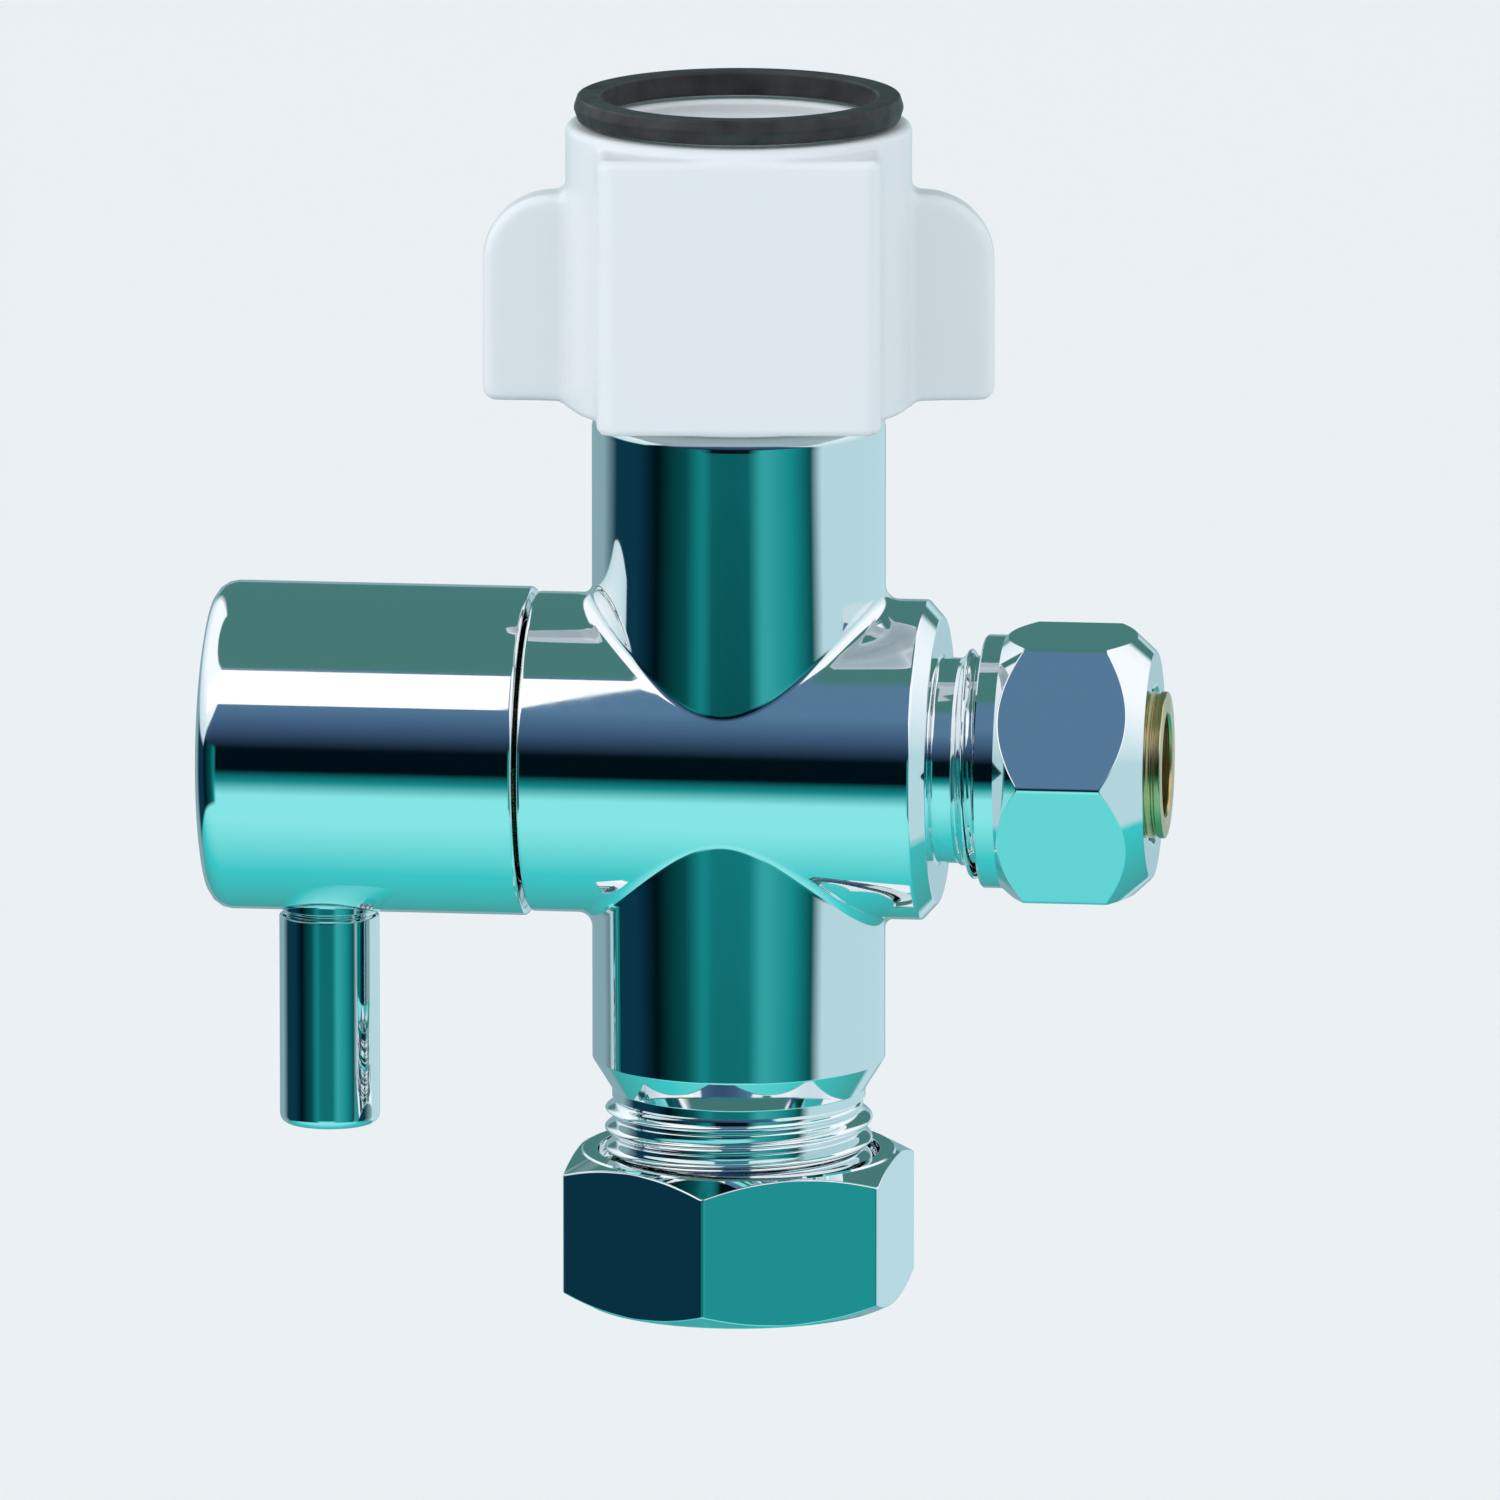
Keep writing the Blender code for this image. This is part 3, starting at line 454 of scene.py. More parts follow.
# Knob, lever pin and grub screw -------------------------------------------------------------------

KNOB_COLUMNS = 256
PIN_COLUMNS = 128
KNOB_SKIRT_R = 11.5 * MM                         # inside of the knob's hollow skirt
KNOB_SKIRT_END = 33.0 * MM
KNOB_SOCKET_R = 4.2 * MM
KNOB_SOCKET_END = 43.0 * MM
PIN_STUB_R = 2.7 * MM
PIN_FOOT = -13.75 * MM                           # height at which the pin leaves the knob


def make_knob(chrome):
    """Turn the knob with its soft outer edge, and cut the pin's spot face and the screw hole."""
    radius = (knob_high.z - knob_low.z) / 2
    closed_end, open_end = -knob_low.x, -knob_high.x
    knob = turned("knob", [
        (0.0, closed_end, None), (radius, closed_end, 2.0 * MM), (radius, open_end, 0.35 * MM),
        (KNOB_SKIRT_R, open_end, 0.2 * MM), (KNOB_SKIRT_R, KNOB_SKIRT_END, None),
        (KNOB_SOCKET_R, KNOB_SKIRT_END, None), (KNOB_SOCKET_R, KNOB_SOCKET_END, None),
        (0.0, KNOB_SOCKET_END, None)], KNOB_COLUMNS)
    on_barrel(knob, -1)
    pin_hole = turned("pin_hole", [
        (0.0, -5.7 * MM, None), (3.0 * MM, -5.7 * MM, None), (3.0 * MM, -13.6 * MM, None),
        (4.65 * MM, -13.6 * MM, None), (4.65 * MM, -16.0 * MM, None), (0.0, -16.0 * MM, None)],
        COARSE)
    pin_low, pin_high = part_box("lever_pin")
    pin_hole.location = ((pin_low.x + pin_high.x) / 2, 0.0, AXIS_Z)
    screw_hole = turned("screw_hole", [
        (0.0, 16.0 * MM, None), (2.5 * MM, 16.0 * MM, None), (2.15 * MM, 13.9 * MM, None),
        (2.15 * MM, 3.5 * MM, None), (0.0, 3.5 * MM, None)], COARSE)
    screw_low, screw_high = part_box("grub_screw")
    screw_hole.location = ((screw_low.x + screw_high.x) / 2, 0.0, AXIS_Z)
    screw_hole.rotation_euler = (-math.pi / 2, 0.0, 0.0)
    cut(knob, pin_hole, screw_hole)
    install(knob, "handle", "chrome_plate", chrome, "handle_knob")


def make_pin(chrome):
    """Turn the lever pin: a stub in the knob, a fine foot groove and a softly rounded tip."""
    low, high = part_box("lever_pin")
    radius = (high.x - low.x) / 2
    tip, foot, stub_end = low.z - AXIS_Z, PIN_FOOT, high.z - AXIS_Z
    pin = turned("pin", [
        (0.0, stub_end, None), (PIN_STUB_R, stub_end, 0.3 * MM), (PIN_STUB_R, foot, None),
        (radius - 0.1 * MM, foot, 0.15 * MM), (radius - 0.1 * MM, foot - 0.8 * MM, 0.1 * MM),
        (radius - 0.35 * MM, foot - 1.0 * MM, 0.1 * MM),
        (radius - 0.35 * MM, foot - 1.25 * MM, 0.1 * MM),
        (radius, foot - 1.45 * MM, 0.15 * MM), (radius, tip, 0.8 * MM), (0.0, tip, None)], PIN_COLUMNS)
    pin.location = ((low.x + high.x) / 2, 0.0, AXIS_Z)
    install(pin, "handle", "chrome_plate", chrome, "lever_pin")


def make_grub_screw(steel):
    """Make the socket set screw with a real hexagon socket."""
    low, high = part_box("grub_screw")
    radius = (high.z - low.z) / 2
    angles = hex_angles(1.0 * MM, 0.08 * MM)

    def profile(angle):
        socket = hex_radius(angle, 1.0 * MM, 0.08 * MM)
        return rounded([
            (0.0, low.y, None), (radius - 0.5 * MM, low.y, None), (radius, low.y + 0.5 * MM, None),
            (radius, high.y, 0.25 * MM), (socket, high.y, 0.1 * MM),
            (socket, high.y - 2.2 * MM, None), (0.0, high.y - 2.4 * MM, None)])

    screw = revolve("grub_screw_fine", profile, angles)
    screw.location = ((low.x + high.x) / 2, 0.0, AXIS_Z)
    screw.rotation_euler = (-math.pi / 2, 0.0, 0.0)
    install(screw, "handle", "spring_steel", steel, "grub_screw")


# Hose nuts and collars ----------------------------------------------------------------------------

CREASE = 0.2 * MM                                # rounding between a nut's flats and chamfers
MOUTH_EASE = 0.15 * MM                           # how far a nut's end faces are eased off
LIP_EASE = 0.4 * MM
INLET_NUT_CORNER_R = 16.5 * MM
INLET_NUT_FLOOR = -46.3 * MM
INLET_NUT_LIP_R = 7.7 * MM
INLET_NUT_ROOT_R = 12.45 * MM
INLET_NUT_CREST_R = 12.1 * MM
OUTLET_NUT_CORNER_R = 13.25 * MM
OUTLET_NUT_FLOOR = 34.0 * MM
OUTLET_NUT_LIP_R = 6.9 * MM
OUTLET_NUT_ROOT_R = 11.0 * MM
OUTLET_NUT_CREST_R = 10.75 * MM


def hex_nut_profile(angle, shape):
    """Profile of a chamfered hexagon nut from its outer side to its threaded bore.

    The mouth is the end that screws onto the spigot and the back is the end with the lip. Each end
    starts as a ring of its own length and radius, and a cone runs from the ring to the flats.
    """
    outline = hex_radius(angle, shape["flat_r"], shape["corner"], shape["turn"])
    mouth, back, floor = shape["mouth"], shape["back"], shape["floor"]
    outward = 1 if back > mouth else -1
    slope = shape["slope"]
    mouth_cut = shape["ring"] + max(0.0, outline - shape["mouth_r"]) * slope
    back_cut = max(0.0, outline - shape["back_r"]) * slope
    corners = [
        (shape["mouth_r"] - MOUTH_EASE, mouth, None),
        (shape["mouth_r"], mouth + outward * MOUTH_EASE, None),
        (shape["mouth_r"], mouth + outward * max(shape["ring"], 0.16 * MM), None),
        (outline, mouth + outward * max(mouth_cut, 0.17 * MM), CREASE),
        (outline, back - outward * max(back_cut, 0.17 * MM), CREASE),
        (shape["back_r"], back - outward * MOUTH_EASE, None),
        (shape["back_r"] - MOUTH_EASE, back, None),
        (shape["lip_r"] + LIP_EASE, back, 0.05 * MM),
        (shape["lip_r"], back - outward * LIP_EASE, 0.05 * MM),
        (shape["lip_r"], floor, None), (shape["root_r"], floor, None)]
    thread_start, thread_end = floor - outward * 0.8 * MM, mouth + outward * 0.9 * MM
    for height in thread_rows(thread_start, thread_end, 10):
        radius = thread_radius(angle, height, shape["crest_r"], shape["root_r"], thread_start,
                               thread_end)
        corners.append((radius, height, None))
    corners.append((shape["root_r"] + 0.1 * MM, mouth, 0.05 * MM))
    return rounded(corners, loop=True)


def make_hex_nut(name, shape):
    """Make a hexagon nut whose flats shade flat up to their rounded corners."""
    angles = hex_angles(shape["flat_r"], shape["corner"], shape["turn"])
    nut = revolve(name, lambda angle: hex_nut_profile(angle, shape), angles)
    weigh = nut.modifiers.new("weigh", "WEIGHTED_NORMAL")
    weigh.keep_sharp = True
    depsgraph = bpy.context.evaluated_depsgraph_get()
    mesh = bpy.data.meshes.new_from_object(nut.evaluated_get(depsgraph))
    nut.modifiers.clear()
    nut.data = mesh
    return nut


def make_inlet_nut(chrome):
    """Make the supply hose's nut, one corner turned a little left of the front."""
    low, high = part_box("inlet_nut")
    flat_r = INLET_NUT_CORNER_R * math.cos(math.pi / 6)
    nut = make_hex_nut("inlet_hex_nut", {
        "flat_r": flat_r, "corner": 0.5 * MM, "turn": math.radians(-94.7), "slope": 0.577,
        "ring": 0.0, "mouth": high.z - AXIS_Z, "back": low.z - AXIS_Z, "floor": INLET_NUT_FLOOR,
        "mouth_r": flat_r - 0.3 * MM, "back_r": flat_r - 0.3 * MM, "lip_r": INLET_NUT_LIP_R,
        "root_r": INLET_NUT_ROOT_R, "crest_r": INLET_NUT_CREST_R})
    install(on_tube(nut), "inlet_hose_nut", "chrome_plate", chrome, "inlet_nut")


def make_outlet_nut(chrome):
    """Make the side hose's nut, deeply chamfered at both ends, one corner to the front."""
    low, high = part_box("outlet_nut")
    flat_r = OUTLET_NUT_CORNER_R * math.cos(math.pi / 6)
    nut = make_hex_nut("outlet_hex_nut", {
        "flat_r": flat_r, "corner": 0.6 * MM, "turn": math.radians(-90), "slope": 1.2,
        "ring": 1.8 * MM, "mouth": low.x, "back": high.x, "floor": OUTLET_NUT_FLOOR,
        "mouth_r": flat_r - 0.25 * MM, "back_r": flat_r - 1.25 * MM, "lip_r": OUTLET_NUT_LIP_R,
        "root_r": OUTLET_NUT_ROOT_R, "crest_r": OUTLET_NUT_CREST_R})
    install(on_barrel(nut, 1), "outlet_hose_nut", "chrome_plate", chrome, "outlet_nut")


def make_collars(brass):
    """Turn the two flanged collars that the hoses are crimped to."""
    low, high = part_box("inlet_collar")
    inlet = turned("inlet_hose_collar", [
        (5.0 * MM, high.z - AXIS_Z, 0.1 * MM), (high.x, high.z - AXIS_Z, 0.2 * MM),
        (high.x, high.z - AXIS_Z - 0.9 * MM, 0.2 * MM), (7.3 * MM, high.z - AXIS_Z - 0.9 * MM, None),
        (7.3 * MM, low.z - AXIS_Z, 0.25 * MM), (5.0 * MM, low.z - AXIS_Z, 0.15 * MM)])
    install(on_tube(inlet), "inlet_union", "brass", brass, "inlet_collar")
    low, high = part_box("outlet_collar")
    outer = high.z - AXIS_Z
    outlet = turned("outlet_hose_collar", [
        (4.6 * MM, low.x, 0.1 * MM), (outer, low.x, 0.15 * MM), (outer, low.x + 0.6 * MM, 0.15 * MM),
        (6.5 * MM, low.x + 0.6 * MM, None), (6.5 * MM, 37.25 * MM, 0.05 * MM),
        (6.3 * MM, 37.35 * MM, 0.05 * MM), (6.3 * MM, 37.5 * MM, 0.05 * MM),
        (6.5 * MM, 37.6 * MM, 0.05 * MM), (6.5 * MM, high.x, 0.2 * MM),
        (4.6 * MM, high.x, 0.3 * MM)])
    install(on_barrel(outlet, 1), "outlet_union", "brass", brass, "outlet_collar")


def make_flat_washer(name, node, bore, along_x, body, rubber):
    """Turn a flat rubber washer with soft edges from its CAD node's box."""
    low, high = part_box(node)
    outer = high.y
    near, far = (low.x, high.x) if along_x else (low.z - AXIS_Z, high.z - AXIS_Z)
    ring = turned(name, [(outer, far, 0.25 * MM), (outer, near, 0.25 * MM),
                         (bore, near, 0.25 * MM), (bore, far, 0.25 * MM)])
    place = on_barrel(ring, 1) if along_x else on_tube(ring)
    install(place, body, "black_rubber", rubber, node)


# Tank nut -----------------------------------------------------------------------------------------

NUT_R = 15.3 * MM
NUT_BORE_R = 11.3 * MM
NUT_THREAD_DEPTH = 0.6 * MM
NUT_LIP_R = 9.9 * MM
NUT_LIP_TOP = 34.5 * MM
PAD_HALF = (12.5 * MM, 15.78 * MM)
PAD_TOP = 56.0 * MM
WING_REACH = 22.6 * MM
WING_HEIGHTS = (32.2 * MM, 50.7 * MM)
nut_low, nut_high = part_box("swivel_nut")
WING_HALF = (2.4 * MM, 1.7 * MM)                 # half thickness at the root and at the tip
NUT_VOXEL = 0.34 * MM
NUT_TURN = math.radians(6.8)                     # how far the nut rests turned about the tube


def soft_union(a, b, size):
    """Smallest of two distances, blended over a size."""
    share = np.clip(0.5 + 0.5 * (b - a) / size, 0.0, 1.0)
    return b + (a - b) * share - size * share * (1.0 - share)


def box_distance(offsets, rounding):
    """Distance to a box whose faces are at the given offsets, with rounded edges."""
    inner = np.stack(offsets) + rounding
    outside = np.linalg.norm(np.maximum(inner, 0.0), axis=0)
    return outside + np.minimum(inner.max(axis=0), 0.0) - rounding


def nut_distance(points):
    """Signed distance to the tank nut's surface, in its own frame."""
    x, y, z = points.T
    radial = np.hypot(x, y)
    low_z, high_z, reach = nut_low.z - AXIS_Z, nut_high.z - AXIS_Z, WING_REACH
    core = box_distance((radial - NUT_R, z - high_z, low_z - z), 0.7 * MM)
    flat_outline = box_distance((abs(x) - PAD_HALF[0], abs(y) - PAD_HALF[1]), 1.5 * MM)
    pads = box_distance((flat_outline, z - PAD_TOP, low_z - z), 0.6 * MM)
    share = np.clip((abs(x) - NUT_R) / (reach - NUT_R), 0.0, 1.0)
    half = WING_HALF[0] + (WING_HALF[1] - WING_HALF[0]) * share
    corner = np.where(z > sum(WING_HEIGHTS) / 2, 6.2 * MM, 1.2 * MM)
    wing_outline = box_distance((abs(x) - reach, z - WING_HEIGHTS[1], WING_HEIGHTS[0] - z), corner)
    wings = box_distance((wing_outline, abs(y) - half), 0.9 * MM)
    solid = soft_union(core, pads, 0.7 * MM)
    solid = soft_union(solid, wings, 1.1 * MM)
    angle = np.arctan2(y, x)
    wave = np.clip(0.5 + 0.8 * np.cos(FULL_TURN * z / THREAD_PITCH - angle), 0.0, 1.0)
    run_out = np.clip((high_z - 0.9 * MM - z) / MM, 0.0, 1.0)
    bore = radial - (NUT_BORE_R + NUT_THREAD_DEPTH - NUT_THREAD_DEPTH * wave * run_out)
    bore = np.maximum(bore, NUT_LIP_TOP - z)
    bore = np.minimum(bore, radial - NUT_LIP_R)
    mouth = (radial - NUT_BORE_R - 0.9 * MM + (high_z - z)) / math.sqrt(2)
    bore = np.minimum(bore, mouth)
    return np.maximum(solid, -bore)


def draw_to_surface(obj, distance, rounds=6):
    """Move an object's vertices onto the surface where a distance is zero."""
    count = len(obj.data.vertices)
    points = np.empty(count * 3, np.float32)
    obj.data.vertices.foreach_get("co", points)
    points = points.reshape(-1, 3).astype(float)
    probe = 0.02 * MM
    for _ in range(rounds):
        value = distance(points)
        slope = np.empty_like(points)
        for axis in range(3):
            step = np.zeros(3)
            step[axis] = probe
            slope[:, axis] = (distance(points + step) - distance(points - step)) / (2 * probe)
        steepness = np.maximum((slope ** 2).sum(axis=1), 0.2)
        move = -value / steepness
        points += slope * np.clip(move, -0.3 * MM, 0.3 * MM)[:, None]
    obj.data.vertices.foreach_set("co", points.astype(np.float32).ravel())
    obj.data.update()


def make_tank_nut(plastic):
    """Remesh the nut finely and draw it onto its moulded shape: pads, wings, fillets, thread."""
    source = frame["nodes"]["swivel_nut"]
    nut = bpy.data.objects.new("tank_nut", source.data.copy())
    bpy.context.scene.collection.objects.link(nut)
    nut.data.transform(Matrix.Rotation(-NUT_TURN, 4, "Z") @ Matrix.Translation((0, 0, -AXIS_Z)))
    remesh = nut.modifiers.new("remesh", "REMESH")
    remesh.mode = "VOXEL"
    remesh.voxel_size = NUT_VOXEL
    depsgraph = bpy.context.evaluated_depsgraph_get()
    mesh = bpy.data.meshes.new_from_object(nut.evaluated_get(depsgraph))
    nut.modifiers.clear()
    nut.data = mesh
    draw_to_surface(nut, nut_distance)
    nut.data.shade_smooth()
    nut.data.transform(Matrix.Rotation(NUT_TURN, 4, "Z"))
    install(on_tube(nut), "tank_nut", "white_plastic", plastic, "swivel_nut")


def make_mouth_ring(rubber):
    """Turn the ring on the nut's mouth, slightly squeezed outwards at its middle."""
    low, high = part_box("mouth_seal_ring")
    outer, foot, top = high.x, low.z - AXIS_Z, high.z - AXIS_Z
    middle = (foot + top) / 2
    ring = turned("mouth_ring", [
        (outer - 0.35 * MM, top, 0.3 * MM), (outer, middle, 0.6 * MM),
        (outer - 0.35 * MM, foot, 0.3 * MM), (12.2 * MM, foot, 0.3 * MM),
        (12.2 * MM, top, 0.3 * MM)])
    install(on_tube(ring), "tank_nut", "black_rubber", rubber, "mouth_seal_ring")


def make_cone_washer(rubber):
    """Turn the cone washer that shows down the tank nut's mouth."""
    low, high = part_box("tank_washer")
    foot, top = low.z - AXIS_Z, high.z - AXIS_Z
    ring = turned("cone_washer", [
        (8.5 * MM, top, 0.4 * MM), (high.x, foot + 1.3 * MM, 0.3 * MM), (high.x, foot, 0.2 * MM),
        (WATERWAY_R, foot, 0.2 * MM), (WATERWAY_R, top, 0.4 * MM)])
    install(on_tube(ring), "root", "black_rubber", rubber, "tank_washer")


# Materials ----------------------------------------------------------------------------------------

def new_material(name, colour, metallic=0.0):
    """Make a Principled material and return it with its node tree and shader."""
    material = bpy.data.materials.new(name)
    material.use_nodes = True
    tree = material.node_tree
    shader = tree.nodes["Principled BSDF"]
    shader.inputs["Base Color"].default_value = (*colour, 1.0)
    shader.inputs["Metallic"].default_value = metallic
    return material, tree, shader


def noise(tree, scale, detail=3.0, stretch=(1.0, 1.0, 1.0)):
    """Add a noise texture in the object's own coordinates, counted per metre."""
    place = tree.nodes.new("ShaderNodeTexCoord")
    mapping = tree.nodes.new("ShaderNodeMapping")
    mapping.inputs["Scale"].default_value = stretch
    texture = tree.nodes.new("ShaderNodeTexNoise")
    texture.inputs["Scale"].default_value = scale
    texture.inputs["Detail"].default_value = detail
    tree.links.new(place.outputs["Object"], mapping.inputs["Vector"])
    tree.links.new(mapping.outputs["Vector"], texture.inputs["Vector"])
    return texture.outputs["Fac"]


def remap(tree, value, low, high, from_low=0.3, from_high=0.7):
    """Map a texture's middle range to another range."""
    node = tree.nodes.new("ShaderNodeMapRange")
    node.inputs["From Min"].default_value = from_low
    node.inputs["From Max"].default_value = from_high
    node.inputs["To Min"].default_value = low
    node.inputs["To Max"].default_value = high
    tree.links.new(value, node.inputs["Value"])
    return node.outputs["Result"]


def multiply(tree, a, b):
    node = tree.nodes.new("ShaderNodeMath")
    node.operation = "MULTIPLY"
    tree.links.new(a, node.inputs[0])
    tree.links.new(b, node.inputs[1])
    return node.outputs["Value"]


def tint(tree, value, dark, light):
    """Blend two colours by a value."""
    node = tree.nodes.new("ShaderNodeMix")
    node.data_type = "RGBA"
    node.inputs["A"].default_value = (*dark, 1.0)
    node.inputs["B"].default_value = (*light, 1.0)
    tree.links.new(value, node.inputs["Factor"])
    return node.outputs["Result"]


def bump(tree, shader, height, distance, strength=1.0):
    node = tree.nodes.new("ShaderNodeBump")
    node.inputs["Strength"].default_value = strength
    node.inputs["Distance"].default_value = distance
    tree.links.new(height, node.inputs["Height"])
    tree.links.new(node.outputs["Normal"], shader.inputs["Normal"])


def make_chrome():
    """Polished chrome plate: faint smudges in the gloss and a trace of waviness."""
    material, tree, shader = new_material("chrome_finish", (0.88, 0.90, 0.91), 1.0)
    smudge = remap(tree, noise(tree, 70.0, 4.0), 0.8, 1.3, 0.35, 0.7)
    grain = remap(tree, noise(tree, 900.0, 2.0), 0.03, 0.05)
    tree.links.new(multiply(tree, smudge, grain), shader.inputs["Roughness"])
    bump(tree, shader, noise(tree, 110.0, 1.0), 0.004 * MM)
    return material


def make_plastic():
    """Moulded white plastic, a little translucent, with faint flow in its gloss."""
    material, tree, shader = new_material("plastic_finish", (0.70, 0.74, 0.77))
    flow = noise(tree, 45.0, 3.0)
    colour = tint(tree, remap(tree, flow, 0.0, 1.0, 0.1, 0.9), (0.69, 0.73, 0.76),
                  (0.72, 0.75, 0.78))
    tree.links.new(colour, shader.inputs["Base Color"])
    gloss = remap(tree, noise(tree, 220.0, 3.0), 0.26, 0.34, 0.1, 0.9)
    tree.links.new(gloss, shader.inputs["Roughness"])
    shader.inputs["Subsurface Weight"].default_value = 0.25
    shader.inputs["Subsurface Radius"].default_value = (1.0, 1.0, 1.0)
    shader.inputs["Subsurface Scale"].default_value = 0.0015
    shader.inputs["IOR"].default_value = 1.49
    bump(tree, shader, noise(tree, 1400.0, 2.0), 0.004 * MM)
    return material


def make_rubber():
    """Black rubber with a dusty, fine-grained skin."""
    material, tree, shader = new_material("rubber_finish", (0.02, 0.02, 0.02))
    dust = remap(tree, noise(tree, 300.0, 4.0), 0.0, 1.0)
    colour = tint(tree, dust, (0.012, 0.012, 0.013), (0.035, 0.035, 0.037))
    tree.links.new(colour, shader.inputs["Base Color"])
    tree.links.new(remap(tree, noise(tree, 500.0, 2.0), 0.45, 0.65), shader.inputs["Roughness"])
    bump(tree, shader, noise(tree, 2500.0, 3.0), 0.02 * MM)
    return material


def make_brass():
    """Turned brass with fine tool marks round its axis and a little tarnish."""
    material, tree, shader = new_material("brass_finish", (0.78, 0.57, 0.28), 1.0)
    tarnish = remap(tree, noise(tree, 180.0, 4.0), 0.0, 1.0)
    colour = tint(tree, tarnish, (0.55, 0.36, 0.15), (0.83, 0.63, 0.33))
    tree.links.new(colour, shader.inputs["Base Color"])
    marks = noise(tree, 60.0, 3.0, (1.0, 1.0, 90.0))
    tree.links.new(remap(tree, marks, 0.16, 0.34), shader.inputs["Roughness"])
    bump(tree, shader, marks, 0.01 * MM)
    return material


def make_steel():
    """Satin spring steel."""
    material, tree, shader = new_material("steel_finish", (0.56, 0.57, 0.58), 1.0)
    streaks = noise(tree, 400.0, 3.0, (1.0, 6.0, 1.0))
    tree.links.new(remap(tree, streaks, 0.22, 0.42), shader.inputs["Roughness"])
    shade_of = tint(tree, remap(tree, streaks, 0.0, 1.0), (0.42, 0.43, 0.45), (0.62, 0.63, 0.64))
    tree.links.new(shade_of, shader.inputs["Base Color"])
    return material


def make_ceramic():
    """Lapped alumina: off-white, smooth, with faint clouding."""
    material, tree, shader = new_material("ceramic_finish", (0.86, 0.85, 0.80))
    cloud = remap(tree, noise(tree, 250.0, 3.0), 0.0, 1.0)
    tree.links.new(tint(tree, cloud, (0.80, 0.79, 0.74), (0.88, 0.87, 0.83)),
                   shader.inputs["Base Color"])
    tree.links.new(remap(tree, noise(tree, 700.0), 0.10, 0.22), shader.inputs["Roughness"])
    return material


def make_glide_plastic():
    """Natural low-friction plastic: milky and waxy."""
    material, tree, shader = new_material("glide_finish", (0.85, 0.85, 0.80))
    cloud = remap(tree, noise(tree, 400.0, 2.0), 0.0, 1.0)
    tree.links.new(tint(tree, cloud, (0.78, 0.78, 0.73), (0.88, 0.88, 0.84)),
                   shader.inputs["Base Color"])
    tree.links.new(remap(tree, noise(tree, 900.0), 0.38, 0.52), shader.inputs["Roughness"])
    return material


def paint_carried_nodes(finishes):
    """Give each CAD node that stays the fine material of its record slot."""
    for part in frame["record"]["subparts"]:
        node = frame["nodes"][part["node"]]
        if node.hide_render:
            continue
        node.data.materials.clear()
        node.data.materials.append(finishes[part["material_slot"]])


# Stage, light and camera --------------------------------------------------------------------------

FLOOR_DROP = 70 * MM
SUN_SOFTNESS = math.radians(24)
CAMERA_AZIMUTH = math.radians(6.8)
CAMERA_ELEVATION = math.radians(11.0)
CAMERA_DISTANCE = 2.4
CAMERA_LENS = 650
FRAME_CENTRE = (1.0 * MM, 0.0, 0.5 * MM)         # beside and above the crossing of the two axes


def make_floor():
    """Lay a plain pale floor below the hanging valve; mirrors don't pick it up."""
    mesh = bpy.data.meshes.new("floor")
    shape = bmesh.new()
    bmesh.ops.create_grid(shape, x_segments=1, y_segments=1, size=40.0)
    shape.to_mesh(mesh)
    shape.free()
    floor = bpy.data.objects.new("floor", mesh)
    floor.location = (0.0, 0.0, cad_bounds[0][2] - FLOOR_DROP)
    bpy.context.scene.collection.objects.link(floor)
    material, _, shader = new_material("floor_finish", (0.83, 0.84, 0.85))
    shader.inputs["Roughness"].default_value = 0.7
    mesh.materials.append(material)
    floor.visible_glossy = False


def linear(*display):
    """Turn a display colour (0 to 255) into a linear one."""
    return tuple(((c / 255 + 0.055) / 1.055) ** 2.4 if c > 10 else c / 255 / 12.92
                 for c in display)


def math_node(tree, operation, a, b):
    """Add a math node; a is a socket and b a socket or a number."""
    node = tree.nodes.new("ShaderNodeMath")
    node.operation = operation
    tree.links.new(a, node.inputs[0])
    if isinstance(b, float):
        node.inputs[1].default_value = b
    else:
        tree.links.new(b, node.inputs[1])
    return node.outputs["Value"]


def ramp(tree, value, span, stops):
    """Add a colour ramp over -span to span from (position, colour) stops."""
    spread = tree.nodes.new("ShaderNodeMapRange")
    spread.inputs["From Min"].default_value = -span
    spread.inputs["From Max"].default_value = span
    node = tree.nodes.new("ShaderNodeValToRGB")
    elements = node.color_ramp.elements
    while len(elements) < len(stops):
        elements.new(0.5)
    for element, (position, colour) in zip(elements, stops):
        element.position = (position / span + 1.0) / 2
        element.color = (*linear(*colour), 1.0)
    tree.links.new(value, spread.inputs["Value"])
    tree.links.new(spread.outputs["Result"], node.inputs["Fac"])
    return node.outputs["Color"]


def blend(tree, share, a, b):
    """Blend two colour sockets by a share."""
    node = tree.nodes.new("ShaderNodeMix")
    node.data_type = "RGBA"
    tree.links.new(share, node.inputs["Factor"])
    tree.links.new(a, node.inputs["A"])
    tree.links.new(b, node.inputs["B"])
    return node.outputs["Result"]


INK = (0, 14, 22)
NAVY = (10, 52, 70)
STEEL_BLUE = (62, 90, 122)
SLATE = (84, 120, 150)
PETROL = (6, 74, 76)
MOSS = (70, 120, 116)
TEAL = (22, 136, 138)
SEA = (52, 160, 160)
TURQUOISE = (60, 196, 196)
CYAN = (134, 228, 227)
MIST = (130, 162, 170)
PALE = (180, 212, 220)
SNOW = (246, 250, 254)

